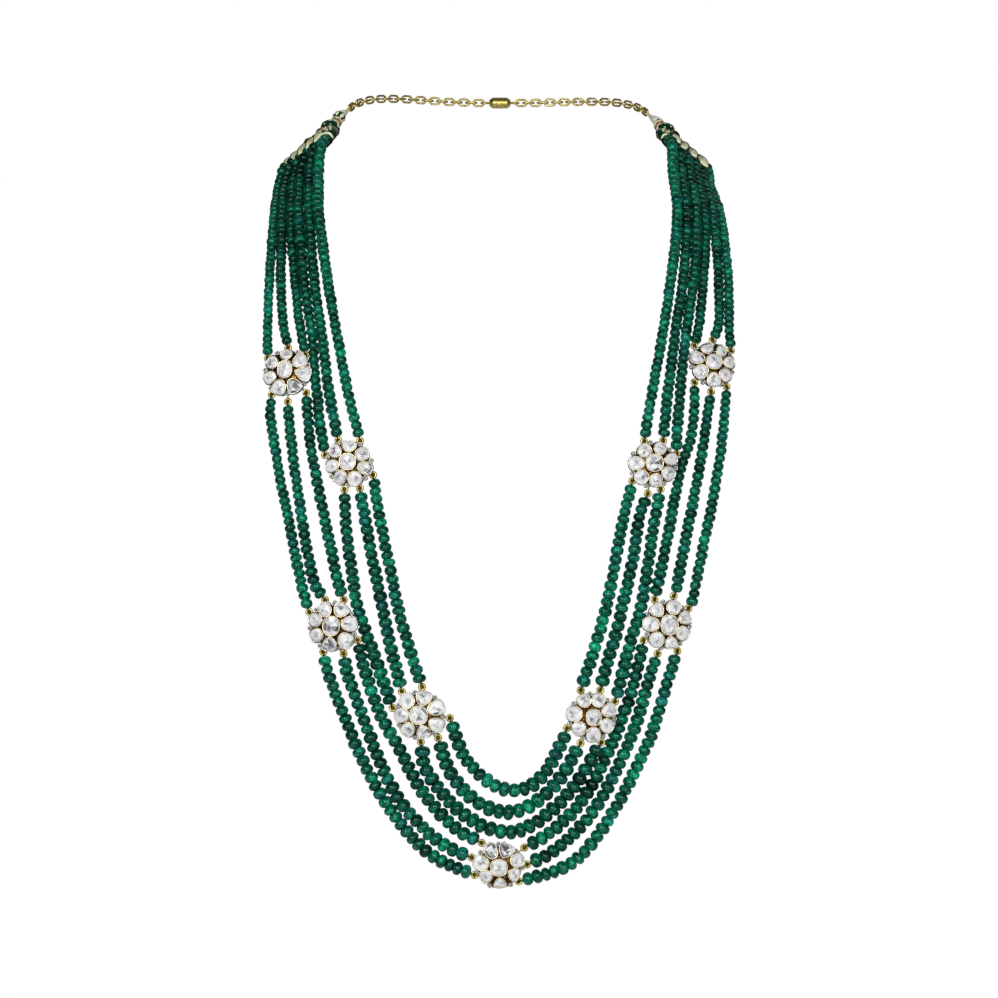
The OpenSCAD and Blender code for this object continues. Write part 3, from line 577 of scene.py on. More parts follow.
# Easing strings apart: share of their width that beads keep, points used, how near they meet, longest shift,
# length over which it fades at the ends, rounds, first shift, push in depth, push
ROOM, EVERY, NEAR, SHIFT_MOST, END_FADE = 0.97, 3, 8, 0.9, 7.0
ROUNDS, FIRST_SHIFT, DEPTH_PUSH, PUSH = 24, 0.25, 2.2, 0.22


def grade(z):
    return clamp((GRADE_TOP_Z - z) / GRADE_FALL)


def bead_width(j, z):
    near_top = clamp(1 - (TOP_Z - z) / TOP_FADE)
    graded = WIDTH_TOP + WIDTH_GAIN * grade(z) ** WIDTH_POWER
    return STRING_WIDTH[j - 1] * graded + TOP_EXTRA[j - 1] * near_top


def curves():
    """The curve of each stretch of each string, eased apart where beads of two strings would meet."""
    made = []
    for j in range(1, STRINGS + 1):
        for n in range(len(stops(j)) + 1):
            route, loop_a, loop_b = stretch(j, n)
            made.append([j, *smooth_curve(route), loop_a, loop_b])
    at, radius, owner, free, runs = [], [], [], [], []
    for j, points, run, _, _ in made:
        first = len(at)
        for p, s in list(zip(points, run))[::EVERY]:
            at.append(p[:])
            radius.append(bead_width(j, p.z) / 2)
            owner.append(j)
            free.append(clamp(min(s, run[-1] - s) / END_FADE))
        runs.append((first, len(at)))
    at, radius, owner, free = (np.array(v, float) for v in (at, radius, owner, free))
    near = np.abs(at[:, None] - at).max(axis=2) < NEAR
    near_a, near_b = np.nonzero(np.triu(near & (owner[:, None] != owner)))
    room = ROOM * (radius[near_a] + radius[near_b])
    shift = np.zeros_like(at)
    shift[:, 1] = np.where(owner % 2 == 0, FIRST_SHIFT, -FIRST_SHIFT) * free
    for _ in range(ROUNDS):
        d = at[near_a] + shift[near_a] - at[near_b] - shift[near_b]
        over = np.maximum(room - np.linalg.norm(d, axis=1), 0)
        d[:, 1] *= DEPTH_PUSH
        push = d / np.maximum(np.linalg.norm(d, axis=1), 1e-6)[:, None] * (PUSH * over)[:, None]
        most = np.zeros_like(at)
        for who, way in ((near_a, push), (near_b, -push)):
            low, high = np.zeros_like(at), np.zeros_like(at)
            np.minimum.at(low, who, way)
            np.maximum.at(high, who, way)
            most += low + high
        shift = np.clip(shift + most * free[:, None], -SHIFT_MOST, SHIFT_MOST)
        for first, last in runs:
            if last - first > 4:
                part = shift[first:last].copy()
                shift[first + 1:last - 1] = (part[:-2] + 2 * part[1:-1] + part[2:]) / 4
    for (_, points, run, _, _), (first, last) in zip(made, runs):
        known, ask = np.arange(last - first) * EVERY, np.arange(len(points))
        moved = np.stack([np.interp(ask, known, shift[first:last, c]) for c in range(3)], axis=1)
        for p, d in zip(points, moved):
            p += Vector(d)
        for k in range(1, len(points)):
            run[k] = run[k - 1] + (points[k] - points[k - 1]).length
    return made


# Lightness of each string's beads, and painted shade: how much darker they are at the top between two others,
# at the top on the left, and at the spreaders' mouths
STRING_TONE = [0.57, 0.44, 0.43, 0.43, 0.43, 0.54]
SHADE_TOP, SHADE_LEFT, SHADE_FADE = 0.14, 0.08, 60
MOUTH_SHADE, MOUTH_REACH = 0.25, 10
# How beads differ: length, width and its limits, place, tilt, hue, fullness, outline and skew
LENGTHS, WIDTHS, WIDTH_ENDS = (0.88, 1.12), (1, 0.035), (0.92, 1.06)
OFF_AXIS, TILTS, HUES = (-0.14, 0.14), (0, 4), (0.2, 0.36)
FULL, FULL_GAIN = (0.44, 0.56), 0.24
LOBE, SKEW = 0.035, 0.12
BEAD_SIDES, BEAD_ROWS = 18, 9
HOLE_R, HOLE_END, THREAD_R, THREAD_STEPS = 0.32, 0.8, 0.24, 60


def bead_mesh(width, thick, full):
    """A drilled, slightly uneven rondelle about Z. The less full, the squarer its edge."""
    r, h = width / 2, thick / 2
    first = asin(min((HOLE_R / r) ** (1 / full), 0.9))
    lobes = [(n, uniform(0, LOBE) / n, uniform(0, 2 * pi)) for n in (1, 2, 3)]
    skew = uniform(-SKEW, SKEW)
    verts = []
    for i in range(BEAD_ROWS):
        a = first + (pi - 2 * first) * i / (BEAD_ROWS - 1)
        rad = r * sin(a) ** full
        z = -h * power(cos(a), 0.95)
        for b in angles(BEAD_SIDES):
            w = rad * (1 + sum(g * cos(n * b + p) for n, g, p in lobes))
            x, y = w * cos(b), w * sin(b)
            verts.append((x, y, z + skew * x * (abs(z) / h)))
    for z in (h * HOLE_END, -h * HOLE_END):
        verts += [(HOLE_R * cos(b), HOLE_R * sin(b), z) for b in angles(BEAD_SIDES)]
    return verts, tube_faces(BEAD_ROWS + 2, BEAD_SIDES, loop=True)


def tie(beads, loop, end):
    """Thread that goes from a string's end through a loop and back, with its knot."""
    c = loop_at(*loop)
    out = (end - c).normalized()
    up = (station_frame(loop[0]).to_3x3() @ Vector((0, 0, 1))).normalized()
    out = (out - out.dot(up) * up).normalized()
    wire = c + LOOP_R * out
    over = LOOP_WIRE + THREAD_R
    steps = ((0.7, 0.45), (0, over), (-0.55, 0.5), (-over - 0.05, 0), (-0.55, -0.5), (0, -over), (0.7, -0.45))
    path = [end + 0.2 * up, *[wire + a * out + b * up for a, b in steps], end - 0.2 * up]
    beads.add(pipe(smooth_curve(path, 0.3)[0], THREAD_R * 1.25, 8), THREAD)
    beads.add(ball(0.62 if loop[1] < LOOPS_A_SIDE else 0.85, 12, 7, 0.9), KNOT,
              basis(out.cross(up), up, out, end - 0.15 * out))


def bead_string(j, parts):
    beads = Shape()
    drift = uniform(0, 10)
    for n, (_, points, run, loop_a, loop_b) in enumerate(parts):
        whole = run[-1]
        s, sizes = 0.0, []
        while s < whole:
            sizes.append(bead_width(j, along(points, run, s)[0].z) * PITCH * uniform(*LENGTHS))
            s += sizes[-1]
        if s - whole > sizes[-1] / 2:
            sizes.pop()
        scale = whole / sum(sizes)
        s = 0.0
        for size in sizes:
            size *= scale
            p, t = along(points, run, s + size / 2)
            s += size
            width = bead_width(j, p.z) * clamp(gauss(*WIDTHS), *WIDTH_ENDS)
            side = t.cross(Vector((0, 1, 0))).normalized()
            m = basis(side, t.cross(side), t, p) @ move(uniform(*OFF_AXIS), uniform(*OFF_AXIS))
            m = m @ turn(gauss(*TILTS), "X") @ turn(gauss(*TILTS), "Y") @ turn(uniform(0, 360))
            drift += uniform(0.1, 0.6)
            near_top = clamp(1 - (TOP_Z - p.z) / SHADE_FADE)
            tone = STRING_TONE[j - 1] - (SHADE_TOP * near_top if 1 < j < STRINGS else 0)
            from_mouth = s if n == 0 else whole - s if n == len(parts) - 1 else MOUTH_REACH
            tone -= MOUTH_SHADE * clamp(1 - from_mouth / MOUTH_REACH)
            tone -= SHADE_LEFT * near_top if p.x < 0 else 0
            tone = clamp(tone + 0.06 * sin(drift) + gauss(0, 0.1 + 0.05 * grade(p.z)))
            hue = clamp(gauss(*HUES))
            full = uniform(*FULL) + FULL_GAIN * grade(p.z)
            beads.add(bead_mesh(width, size * OVERLAP, full), BEAD, m, (tone, hue, rng.random(), 1))
        inner = [along(points, run, whole * k / THREAD_STEPS)[0] for k in range(1, THREAD_STEPS)]
        beads.add(pipe([points[0], *inner, points[-1]], THREAD_R, 8), THREAD)
        for loop, end in ((loop_a, points[0]), (loop_b, points[-1])):
            if loop:
                tie(beads, loop, end)
    o = beads.piece(f"beads_{j}", "bead")
    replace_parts(o, f"bead_string_{j}")


# Flower stations
PLATE_TOP, PLATE_T, PLATE_FLAT_R, PLATE_R = 1.2, 0.8, 4.6, 9.6
PLATE_RINGS, PLATE_SIDES, DOME = (PLATE_FLAT_R, 7.0, 8.6), 56, 11
COLLET_H, CENTRE_H, RIM_W = 1.9, 2.1, 0.54
OUTLINE_POINTS, FULLNESS, NARROWER = 44, 0.85, 0.42
# A stone's girdle below its collet's rim, and its lower side
GIRDLE_DOWN, STONE_FLOOR = 0.3, 0.25
# Grain cups: how far past petals and plate they stand, and their section from below
GRAIN_OUT, GRAIN_MOST = 2.8, 1.1
CUP = [(0.05, -0.75), (0.8, -0.72), (1.08, -0.4), (1.1, 0.2), (1.06, 0.75), (0.96, 1.0), (0.8, 1.08),
       (0.66, 0.98), (0.6, 0.7), (0.05, 0.66)]
CUP_WALL_R, CUP_INSIDE_Z = 1, 0.9
# How many gaps between petals have a silver stud
STUD_SHARE = 0.35
STALK_FROM = PLATE_R - 0.8
# How dark a stone is, by station and petal, with nought for the middle stone: darker painted reflection in
# its facets and more cloudy patches
DARK_STONES = {(1, 4): 0.4, (2, 0): 0.15, (2, 3): 0.2, (3, 0): 0.25, (3, 3): 0.25, (3, 4): 0.25, (3, 5): 0.35,
               (4, 0): 0.15, (5, 1): 0.35, (5, 2): 0.7, (6, 0): 0.25, (7, 0): 0.3, (8, 0): 0.35, (8, 6): 0.2}
DARK_LEAST = 0.03


def outline(length, width, point):
    """An oval that narrows towards its inner end, as points in a plane."""
    out = []
    for a in angles(OUTLINE_POINTS):
        narrow = (1 + point * (cos(a) - 1) / 2) / (1 - NARROWER * point)
        x, y = power(cos(a), FULLNESS), power(sin(a), FULLNESS)
        out.append(Vector((length / 2 * x, width / 2 * y * narrow)))
    return out


def outwards(line):
    """The direction out of an outline at each of its points."""
    steps = [line[(k + 1) % len(line)] - line[k - 1] for k in range(len(line))]
    return [Vector((d.y, -d.x)).normalized() for d in steps]


def plate_z(r):
    return PLATE_TOP - max(r - PLATE_FLAT_R, 0) * tan(radians(DOME))


def petal_frame(p):
    return turn(p[0]) @ move(p[1], 0, plate_z(p[1])) @ turn(DOME, "Y")


def back_plate(metal, whole):
    """The domed plate under the collets: patina and painted shade between them and plain gold behind."""
    edge = plate_z(PLATE_R)
    rows = [(0.05, PLATE_TOP - PLATE_T)] + [(r, plate_z(r) - PLATE_T) for r in PLATE_RINGS]
    rows += [(PLATE_R - 0.4, edge - PLATE_T + 0.1), (PLATE_R - 0.15, edge - 0.3),
             (PLATE_R - 0.4, edge - 0.02)]
    rows += [(r, plate_z(r)) for r in PLATE_RINGS[::-1]] + [(0.05, PLATE_TOP)]
    verts, faces = turned(rows, PLATE_SIDES)
    far = [hypot(x, y) for x, y, _ in verts]
    # Tone: silver towards the rim, full patina and painted shade inside, a little less near the rim
    tones = [(clamp((r - 7) / 3), 1.0 if r < 9 else 0.75, 0, 1) for r in far]
    metal.add((verts, faces), SETTING, whole, tones)
    behind = (len(PLATE_RINGS) + 1) * PLATE_SIDES
    metal.m[:behind] = [GOLD] * behind


def collet(metal, line, h, m, whole):
    """A bezel round a stone, with a rolled rim. Its tone: how far out, how deep in patina and painted shade,
    how dark in painted shade along its walls.
    """
    # Rows: offset out, height, patina and painted shade towards the foot, black painted shade along the walls
    profile = [(0.16, -0.5, 1, 0.3), (0.18, 0.35 * h, 0.95, 0.8), (0.16, 0.7 * h, 0.6, 1),
               (0.06, h - 0.2, 0.1, 0.85), (-0.06, h, 0, 0.05), (-0.22, h + 0.1, 0, 0),
               (-RIM_W + 0.04, h - 0.02, 0, 0.1), (-RIM_W, h - 0.3, 0.3, 0.9), (-RIM_W, 0.3, 0.9, 0.5)]
    verts, tones = [], []
    for p, n in zip(line, outwards(line)):
        for off, z, deep, edge in profile:
            verts.append((p.x + n.x * off, p.y + n.y * off, z))
            q = m @ Vector(verts[-1])
            far = clamp((hypot(q.x, q.y) - 7.5) / 3.5)
            edge *= 0.4 + 0.6 * far if off > 0 else 1
            tones.append((0.75 * far, clamp(deep * (1 - 0.35 * far)), edge, 1))
    metal.add((verts, tube_faces(len(line), len(profile), loop=True)), SETTING, whole @ m, tones)


def facets(stones, line, h, m, dark):
    """An irregular stone, whose crown facets meet at a point near the middle."""
    inset = [p - q * (RIM_W - 0.03) for p, q in zip(line, outwards(line))]
    girdle = h - GIRDLE_DOWN
    sides = rng.choice((6, 7, 7, 8))
    turned_by = uniform(0, 2 * pi)
    apex = (uniform(-0.7, 0.7), uniform(-0.7, 0.7), girdle + uniform(0.5, 0.75))
    points = [(p.x, p.y, z) for z in (STONE_FLOOR, girdle) for p in inset] + [apex]
    rise = apex[2] - h + GIRDLE_DOWN
    for k in range(sides):
        a = turned_by + 2 * pi * (k + uniform(-0.22, 0.22)) / sides
        p = inset[int(round(a / (2 * pi) * len(line))) % len(line)]
        reach = uniform(0.62, 0.86)
        points.append((p.x * reach, p.y * reach, girdle + rise * uniform(0.5, 0.62)))
    bm = bmesh.new()
    for p in points:
        bm.verts.new(p)
    made = bmesh.ops.convex_hull(bm, input=bm.verts[:])
    spare = dict.fromkeys(g for g in made["geom_interior"] + made["geom_unused"]
                          if isinstance(g, bmesh.types.BMVert))
    bmesh.ops.delete(bm, geom=list(spare), context="VERTS")
    bmesh.ops.recalc_face_normals(bm, faces=bm.faces[:])
    bm.verts.index_update()
    verts = [v.co.copy() for v in bm.verts]
    faces, tones = [], ["corners"]
    base, patch = uniform(0.88, 1.0), clamp(uniform(0.15, 0.45) + dark)
    # Each wedge of the crown's two rows has a painted reflection: a lightness at its rim and one at its heart
    wedges = {}
    for f in bm.faces:
        faces.append([v.index for v in f.verts])
        c = f.calc_center_median()
        if c.z < girdle - 0.01:
            tones.append([(0.25, 0, 0, 1)] * len(f.verts))
            continue
        heights = [v.co.z for v in f.verts]
        wedge = int(((atan2(c.y, c.x) - turned_by) / (2 * pi) + 2) * sides) % sides
        inner = max(heights) > apex[2] - 0.01
        if (inner, wedge) not in wedges:
            kind = rng.random()
            rim, heart = base + gauss(0, 0.04), base + gauss(-0.04, 0.05)
            if inner and kind < 0.55:
                heart = uniform(0.3, 0.64)
            if inner and kind < 0.14 + 0.2 * dark:
                rim, heart = uniform(0.55, 0.8), uniform(0.25, 0.5)
            if not inner and kind < 0.3:
                rim, heart = rim - uniform(0.1, 0.25), heart - uniform(0.05, 0.25)
            if rng.random() < 0.8 * dark:
                rim, heart = uniform(0.3, 0.7), uniform(0.02, 0.25)
            wedges[inner, wedge] = rim, heart
        rim, heart = wedges[inner, wedge]
        low, high = min(heights), max(max(heights), min(heights) + 0.01)
        tones.append([(clamp(rim + (heart - rim) * (z - low) / (high - low)), patch, 0, 1) for z in heights])
    bm.free()
    stones.add((verts, faces), STONE, m, tones, smooth=False)


def grain(metal, at, reach):
    """A cup with a small stone, on a stem from the plate."""
    stem = pipe([(r, 0, -0.2) for r in (PLATE_R - 1.0, PLATE_R, reach)], 0.4, 8)
    # The stem is darkened with patina and painted shade
    metal.add(stem, SETTING, at, (0.6, 0.6, 0.3, 1))
    at = at @ move(reach, 0)
    cup = turned(CUP, 18)
    # Painted shade on the cup's outer wall and down inside it
    cup_wall_shade = [0.8 if hypot(x, y) > CUP_WALL_R else 0.6 if z < CUP_INSIDE_Z else 0 for x, y, z in cup[0]]
    metal.add(cup, SETTING, at, [(0.8, 0, edge, 1) for edge in cup_wall_shade])
    metal.add(ball(0.56, 12, 7, 0.75), STONE, at @ move(0, 0, 0.95))


def stalk(reach, z, radius, sides):
    return pipe([(r, 0, z) for r in np.linspace(STALK_FROM, reach, 5)], radius, sides)


def station(i):
    _, _, width, height, petals, loops, (wire_angle, wire_reach) = STATIONS[i - 1]
    whole = station_frame(i)
    metal, stones = Shape(), Shape()

    def seat(line, h, m, k):
        collet(metal, line, h, m, whole)
        facets(stones, line, h, whole @ m, DARK_STONES.get((i, k), DARK_LEAST))

    back_plate(metal, whole)
    seat(outline(width, height, 0), CENTRE_H, move(0, 0, PLATE_TOP), 0)
    for k, p in enumerate(petals):
        seat(outline(p[3], p[2], p[4]), COLLET_H, petal_frame(p), k + 1)
        after = petals[(k + 1) % len(petals)]
        angle = p[0] - ((p[0] - after[0]) % 360) / 2
        grain(metal, whole @ turn(angle), min((p[1] + after[1]) / 2 + GRAIN_OUT, PLATE_R + GRAIN_MOST))
        stud = whole @ turn(angle + uniform(-5, 5)) @ move(uniform(4.6, 5.3), 0, PLATE_TOP)
        if rng.random() < STUD_SHARE:
            metal.add(ball(0.42, 10, 6), SILVER, stud @ move(0, 0, 0.9))
            metal.add(turned([(0.3, -0.2), (0.3, 0.9)], 8), SILVER, stud)
    for a, d in loops:
        at = whole @ turn(a)
        metal.add(torus(LOOP_R, LOOP_WIRE, 30, 12), LOOP_GOLD, at @ move(d, 0))
        metal.add(ball(0.78, 14, 7, 0.45), LOOP_SHADE, at @ move(d, 0))
        metal.add(stalk(d - LOOP_R, -0.15, 0.42, 10), LOOP_GOLD, at)
    metal.add(stalk(wire_reach, -0.2, 0.3, 8), SILVER, whole @ turn(wire_angle))
    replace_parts(metal.piece(f"flower_{i}", "setting"), f"station_{i}")
    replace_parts(stones.piece(f"stones_{i}", "clear_stone"), f"centre_stone_{i}", f"petal_stones_{i}")


# End spreaders
FAN_L, NECK_HALF, MOUTH_OVER, BODY_SIDES = 18, 4.2, 2.6, 56
# The calyx from neck to inside the mouth, green and then bronze: up the fan, wider by, half thickness
CALYX = [(FAN_L, -0.5, 3.0), (FAN_L * 0.96, 0, 3.3), (FAN_L * 0.85, 0, 3.2), (FAN_L * 0.7, 0, 3.1),
         (FAN_L * 0.55, 0, 3.05), (FAN_L * 0.4, 0, 3.0), (FAN_L * 0.25, 0, 3.0), (FAN_L * 0.12, 0, 3.0),
         (1.4, 0, 3.0), (0.6, 0.1, 3.05), (-0.1, 0.1, 3.0), (-0.3, -0.2, 2.6), (0.0, -0.6, 2.1),
         (2.0, -0.8, 1.9), (4.5, -1.2, 1.7)]
GREEN_ROWS = 9
# The mouth's edge, cream where it shows above the strings: first and last angle, material, radius
MOUTH_EDGE = ((62, 196, CREAM, 0.62), (196, 365, BRONZE, 0.55), (5, 62, BRONZE, 0.5))
EDGE_POINTS = 26
# Leaves from each mouth's upper edge: along the row, up the fan, how high, length, width, swing
LEAVES = [[[-12.2, 0.9, 4.1, 6.8, 3.1, 0], [-7.0, 0.9, 3.9, 7.4, 3.3, 4], [-1.4, 0.9, 3.5, 7.6, 3.5, 0],
           [4.2, 0.9, 3.1, 7.4, 3.4, -3], [9.4, 0.9, 2.5, 6.8, 3.2, 0], [13.6, 0.9, 1.4, 5.6, 2.8, 0]],
          [[-13.6, -1.6, 3.8, 6.8, 3.2, 0], [-8.4, -4.0, 3.3, 6.6, 4.1, -24], [-3.5, -4.8, 3.1, 6.8, 3.7, -6],
           [2.5, -5.4, 2.8, 8.2, 4.1, 4]]]
LEAF_RUN, LEAF_TURN = [(2.2, -6.2, -1.3), (2.2, -6.2, -0.8)], 40
# How far back the green leaf under each one reaches
LEAF_ROOT = [0.5, 2.4]
# The inner flank swells out past the mouth before it closes in: its reach up the fan
FLANK_Y, FLANK_X = [0, 3, 6, 9, 12, 15, 18], [16.4, 17.0, 16.6, 15.2, 13.0, 10.2, 6.0]
# A leaf along the inner flank, from the mouth to the neck, and dots round it
FLANK_LEAF = [Vector((-16.3, 4.2, -1.2)), Vector((-13.1, 11.8, 0.9)), 2.6]
FLANK_DOTS = [[-14.6, 2.9], [-15.2, 5.6], [-12.6, 4.6], [-13.4, 7.6], [-16, 3.4]]
# Rows of dots on the fan: up the fan, first one, how many
DOT_ROWS, DOT_STEP = ((9.8, -9.4, 6), (11.6, -8.6, 6), (13.4, -7.4, 5), (15.2, -6.0, 4)), 1.6
# The right fan is flatter than the left one
RISE = [1, 0.76]
# The dotted ball, and its rings: tilt, how many, leaves or dots
BALL_X, BALL_Y, BALL_R = -1.2, 24.2, 4.6
BALL_RINGS = ((-0.75, 7, False), (-0.15, 6, True), (0.5, 8, False))
RED_BAND, BAND_R = (31.2, 33.9), 2.7
# The leafy bead on each side: how far up the axis, radius
LEAFY, LEAFY_UP = [(38.0, 2.8), (35.2, 2.15)], 0.7
# The pale tip on each side: how far up the axis, how far out, radius
TIPS = [[(40.2, 0.7, 2.3), (42, 0.6, 1.9), (44, 0.25, 1.3), (45.4, 0.05, 0.9), (46.3, 0, 0.6)],
        [(35.6, 0.7, 1.9), (36.6, 0.7, 2.3), (38.6, 0.6, 2.1), (41.8, 0.3, 1.5), (44.6, 0.1, 0.95),
         (46.3, 0, 0.55)]]
EYE_Y, EYE_R = 47.8, 1.8


def leaf_width(u):
    """A leaf's width from its root, 0, to its tip, 1, with 1 as the widest."""
    return max(sin(pi * u) ** 0.8, 0.04)


def leaf(length, width, thick, curl, rows=11, sides=10):
    """A pointed leaf along X with a ridge on its upper side, bent down at its tip."""
    verts = []
    for i in range(rows):
        u = i / (rows - 1)
        w = leaf_width(u)
        for a in angles(sides):
            c, s = cos(a), sin(a)
            up = thick * w * (s * (1 - 0.45 * abs(c)) if s > 0 else 0.35 * s)
            verts.append((length * (u - 0.5), width / 2 * w * c, -curl * (u - 0.35) ** 2 + up))
    return verts, tube_faces(rows, sides)


def fan_half(s, y, way):
    """The fan's reach to its inner side, where way is below nought, or outer side."""
    if way < 0:
        return float(np.interp(y, FLANK_Y, FLANK_X))
    half = (row_length(s) / 2 + MOUTH_OVER) * (1 - OUTER_DRAW[s])
    return NECK_HALF + (half - NECK_HALF) * (1 - clamp(y / FAN_L)) ** 1.5


def fan_lift(s, x, y):
    """How much higher than its lower side the fan's upper side stands."""
    boss = 0.25 * exp(-((x + 0.5) / 3.5) ** 2)
    return RISE[s] * (1 - (0.026 if x > 0 else 0.008) * x) * (1 + (0.3 + boss) * exp(-((y - 5) / 4) ** 2))


def fan_round(u):
    """The fan's thickness from its middle, 0, to its edge, 1."""
    return (1 - abs(u) ** 3.2) ** 0.31


def on_fan(s, x, y, high):
    """Matrix of a place on the upper side of the fan's inner half."""
    return move(x, y, high * fan_lift(s, x, y) * fan_round(x / fan_half(s, y, -1)))


def fan_edge(s, y, grow, thick, b):
    """A point of the calyx's skin: its upper side stands higher near the throat."""
    c, e = power(cos(b), 0.62), power(sin(b), 0.62)
    x = (fan_half(s, y, c) + grow) * c
    return Vector((x, y, thick * e * (fan_lift(s, x, y) if e > 0 else 1)))


def round_axis(m, y, a, out, tilt=0):
    """Matrix of a place round the axis: y up it, turned by a, tilted, and that far out. In radians."""
    return m @ move(0, y) @ Matrix.Rotation(a, 4, "Y") @ Matrix.Rotation(tilt, 4, "X") @ move(0, 0, out)


def band(part, m, y, rows, material):
    """A turned ring: rows of [radius, distance past y]."""
    part.add(turned([(r, y + d) for r, d in rows], 32, "Y"), material, m)


def calyx(s, name, m):
    """An open mouth round the strings' ends, narrowing to the neck, with a thick wall."""
    body = Shape()
    verts = [fan_edge(s, *row, a) for row in CALYX for a in angles(BODY_SIDES)]
    body.add((verts, tube_faces(len(CALYX), BODY_SIDES)), BRONZE, m)
    body.m[:GREEN_ROWS * BODY_SIDES] = [GREEN] * (GREEN_ROWS * BODY_SIDES)
    body.m[-2] = GREEN
    body.piece(f"calyx_{name}", "gold")


def fan_trim(s, gold, m):
    """What lies on the calyx: the mouth's edge, leaves, ribs and dots."""
    for low, high, metal, r in MOUTH_EDGE:
        line = [fan_edge(s, 0, 0.35, 3.15, radians(a)) + Vector((0, -0.1, 0))
                for a in np.linspace(low, high, EDGE_POINTS)]
        radii = [r * min(1, 0.25 + 6 * min(u, 1 - u)) for u in np.linspace(0, 1, EDGE_POINTS)]
        gold.add(pipe(line, radii, 10), metal, m)
    for x, y, z, length, width, swing in LEAVES[s]:
        run = turn(swing).to_3x3() @ Vector(LEAF_RUN[s]).normalized()
        side = Vector((-run.y, run.x, 0)).normalized()
        at = m @ basis(run, side, run.cross(side), Vector((x, y, z)) + run * length * 0.42)
        at = at @ turn(LEAF_TURN, "X")
        gold.add(leaf(length, width, 0.75, 1.1), CREAM, at)
        root = LEAF_ROOT[s]
        gold.add(leaf(length + 0.5 + root, width + 1.3, 0.4, 1.2), GREEN, at @ move(0.25 - root / 2, 0, -0.4))
        vein = [(length * (u - 0.5), 0, 0.76 * leaf_width(u) - 1.1 * (u - 0.35) ** 2)
                for u in np.linspace(0.2, 0.8, 7)]
        gold.add(pipe(vein, 0.1, 6), GOLD, at)
    for side in (1, -1):
        for u in [(k - 2) / 2.4 for k in range(5)]:
            line = []
            for t in np.linspace(0, 1, 14):
                y = 1.5 + (FAN_L - 2) * t
                x = u * fan_half(s, y, u)
                z = side * (2.95 + 0.3 * y / FAN_L) * fan_round(u) * (fan_lift(s, x, y) if side > 0 else 1)
                line.append((x, y, z))
            gold.add(pipe(line, 0.26, 8), GOLD, m)
    for row, (y, first, number) in enumerate(DOT_ROWS):
        for k in range(number):
            gold.add(ball(0.66, 10, 6, 0.8), PINK if (k + row) % 2 else CREAM,
                     m @ on_fan(s, first + DOT_STEP * k, y, 3.15))
    low_end, high_end, width = FLANK_LEAF
    run = (high_end - low_end).normalized()
    out = Vector((-run.y, run.x, 0)).normalized()
    at = m @ basis(run, out.cross(run), out, (low_end + high_end) / 2 + 0.25 * out)
    gold.add(leaf((high_end - low_end).length, width, 0.6, 0.5), CREAM, at)
    for x, y in FLANK_DOTS:
        gold.add(ball(0.6, 12, 7, 0.8), CREAM, m @ on_fan(s, x, y, 3.1))


def spreader(s, name):
    m = spreader_frame(s)
    gold, enamel = Shape(), Shape()
    calyx(s, name, m)
    fan_trim(s, gold, m)
    leafy_y, leafy_r = LEAFY[s]

    # The neck's ring with its dots, the stem, and the dotted ball
    band(gold, m, FAN_L, [(3.2, -0.6), (3.8, -0.2), (4.0, 0.3), (3.5, 0.8), (3.2, 1.3), (2.4, 1.8)], BRONZE)
    for k in range(12):
        gold.add(ball(0.5, 8, 6), PINK if k % 2 else CREAM, round_axis(m, FAN_L + 0.9, radians(30 * k), 3.6))
    gold.add(turned([(1.3, FAN_L), (1.3, leafy_y)], 12, "Y"), GOLD, m)
    m_ball = m @ move(BALL_X, 0)
    enamel.add(drilled_ball(BALL_Y, BALL_R, 1, 36, 17), GREEN, m_ball)
    for ring, (tilt, number, leaves) in enumerate(BALL_RINGS):
        for k in range(number):
            at = round_axis(m_ball, BALL_Y, 2 * pi * (k + 0.35 * ring) / number, BALL_R, tilt)
            if leaves:
                gold.add(leaf(2.4, 1.5, 0.45, 0.2), CREAM, at @ turn(35 * (-1) ** k))
            else:
                gold.add(ball(0.45, 10, 6, 0.6), CREAM, at)

    # The green ring past the ball, and the red band between two cream ones
    lo, hi = RED_BAND
    top = BALL_Y + BALL_R
    band(enamel, m, top, [(2.2, -0.8), (2.5, -0.3), (2.2, 0.5), (2.1, 1.1), (2.3, 1.9), (1.6, 2.0)], GREEN)
    band(gold, m, lo, [(1.8, -0.55), (2.5, -0.5), (2.68, -0.25), (2.6, 0), (1.8, 0.05)], CREAM)
    band(enamel, m, lo, [(2.2, 0), (BAND_R - 0.2, 0.1), (BAND_R, 0.6), (BAND_R, 2.0), (BAND_R - 0.2, 2.55),
                         (2.2, 2.6)], RED)
    band(gold, m, hi, [(1.8, -0.1), (2.55, -0.05), (2.7, 0.3), (2.5, 0.6), (1.7, 0.75)], CREAM)
    for a in [radians(51.4 * k) for k in range(7)]:
        gold.add(ball(0.36, 8, 6, 0.7), CREAM, round_axis(m, top + 0.8, a, 2.25))
        gold.add(ball(0.42, 10, 6, 0.5), CREAM, round_axis(m, (lo + hi) / 2, a, BAND_R))

    # The leafy bead, the pale tip and the eye for the chain
    up = m @ move(0, 0, LEAFY_UP)
    enamel.add(drilled_ball(leafy_y, leafy_r, 1.25, 32, 15), GREEN, up)
    for k in range(6):
        for row, (tilt, size) in enumerate(((-0.45, 0.3), (0.4, 0.357))):
            at = round_axis(up, leafy_y, radians((k + 0.5 * row) * 60), leafy_r * (1.0 + 0.06 * row), tilt)
            gold.add(leaf(3.3 * size * leafy_r, 1.9 * size * leafy_r, 0.4, 0.35), CREAM, at @ turn(90))
    gold.add(pipe([(0, y, z) for y, z, _ in TIPS[s]], [r for _, _, r in TIPS[s]], 20), WHITE, m)
    gold.add(torus(EYE_R, LOOP_WIRE, 28, 10), GOLD, m @ move(0, EYE_Y))
    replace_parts(gold.piece(f"crown_{name}", "gold"), f"spreader_{name}")
    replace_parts(enamel.piece(f"glaze_{name}", "enamel"), f"enamel_{name}")


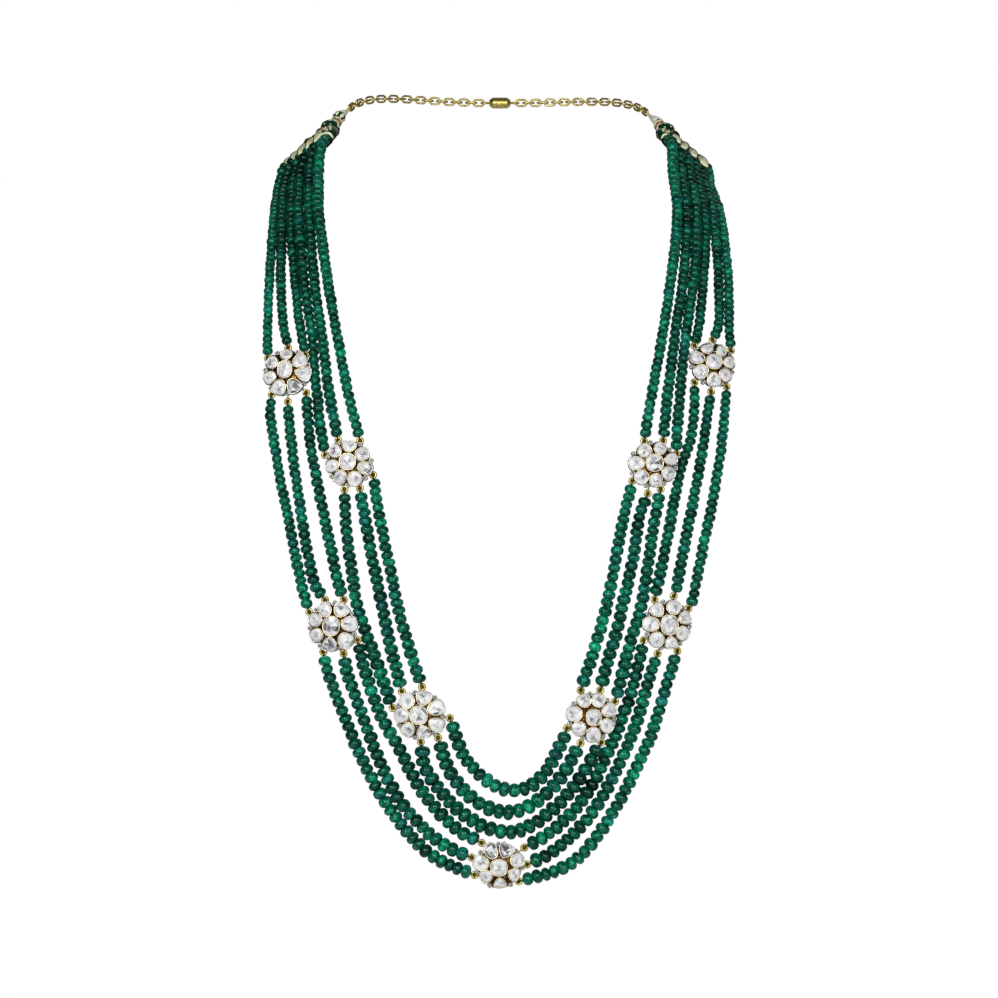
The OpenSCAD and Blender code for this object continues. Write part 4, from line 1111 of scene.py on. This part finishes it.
eased = curves()
for j in range(1, STRINGS + 1):
    bead_string(j, [c for c in eased if c[0] == j])
for i in range(1, len(STATIONS) + 1):
    station(i)
spreader(0, "left")
spreader(1, "right")
for name in ("nape_chain_left", "nape_chain_right", "clasp"):
    nodes[name].data.materials.clear()
    nodes[name].data.materials.append(GOLD)


# Stage, light and camera
MIDDLE = Vector((0, -0.05, -0.175))
# Lamps that face the middle: place, size, watts
LAMPS = (("front", (0, -3.4, 0.5), (3.0, 2.2), 54), ("left", (-1.2, -2.3, 0.7), (0.5, 1.3), 21),
         ("right", (1.4, -2.4, 0.3), (0.4, 1.3), 12), ("back", (0.5, 2.2, 1.6), (3.0, 3.0), 11),
         ("fill", (-0.3, 2.4, 0.1), (2.6, 2.2), 26))
for name, at, size, watts in LAMPS:
    d = bpy.data.lights.new(name, "AREA")
    d.shape = "RECTANGLE"
    d.size, d.size_y = size
    d.energy = watts
    o = put(name, d)
    o.location = at
    o.rotation_euler = (MIDDLE - Vector(at)).to_track_quat("-Z", "Y").to_euler()
    o.visible_glossy = name != "fill"

# The world is white to the camera, dim as light and nearly dark in reflections
world = bpy.data.worlds.new("studio")
bpy.context.scene.world = world
world.use_nodes = True
nt = world.node_tree
nt.nodes.clear()
seen, dim, dark = (node(nt, "Background", Color=(1, 1, 1, 1), Strength=s).outputs["Background"]
                   for s in (1.0, 0.08, 0.03))
rays = node(nt, "LightPath").outputs


def by_ray(kind, others, this):
    n = node(nt, "MixShader")
    for socket, value in zip(n.inputs, (rays[kind], others, this)):
        nt.links.new(value, socket)
    return n.outputs["Shader"]


nt.links.new(by_ray("Is Camera Ray", by_ray("Is Glossy Ray", dim, dark), seen),
             node(nt, "OutputWorld").inputs["Surface"])
bpy.context.scene.view_settings.view_transform = "Standard"

FLOOR_HALF, FLOOR_Z = 1.2, -0.52
floor = bpy.data.meshes.new("floor")
corners = [(x * FLOOR_HALF, y * FLOOR_HALF, FLOOR_Z) for x, y in ((-1, -1), (1, -1), (1, 1), (-1, 1))]
floor.from_pydata(corners, [], [[0, 1, 2, 3]])
floor_m, nt, b = material("pale_floor", (0.9, 0.9, 0.9), 0.8)
paint(nt, b, ramp(nt, noise(nt, 3, 2), [(0.3, 0.86), (0.7, 0.9)]))
floor.materials.append(floor_m)
floor_o = put("floor", floor)

# The lens takes in 449.1 mm across at 3000 mm from the camera, where y is -100 mm
SENSOR, FAR, FIELD = 36, 3000, 449.1
cam = bpy.data.cameras.new("camera")
cam.sensor_width = SENSOR
cam.lens = SENSOR * FAR / FIELD
cam_o = put("camera", cam)
cam_o.location = (-0.00045, -3.1, -0.17505)
cam_o.rotation_euler = (pi / 2, 0, 0)
bpy.context.scene.camera = cam_o
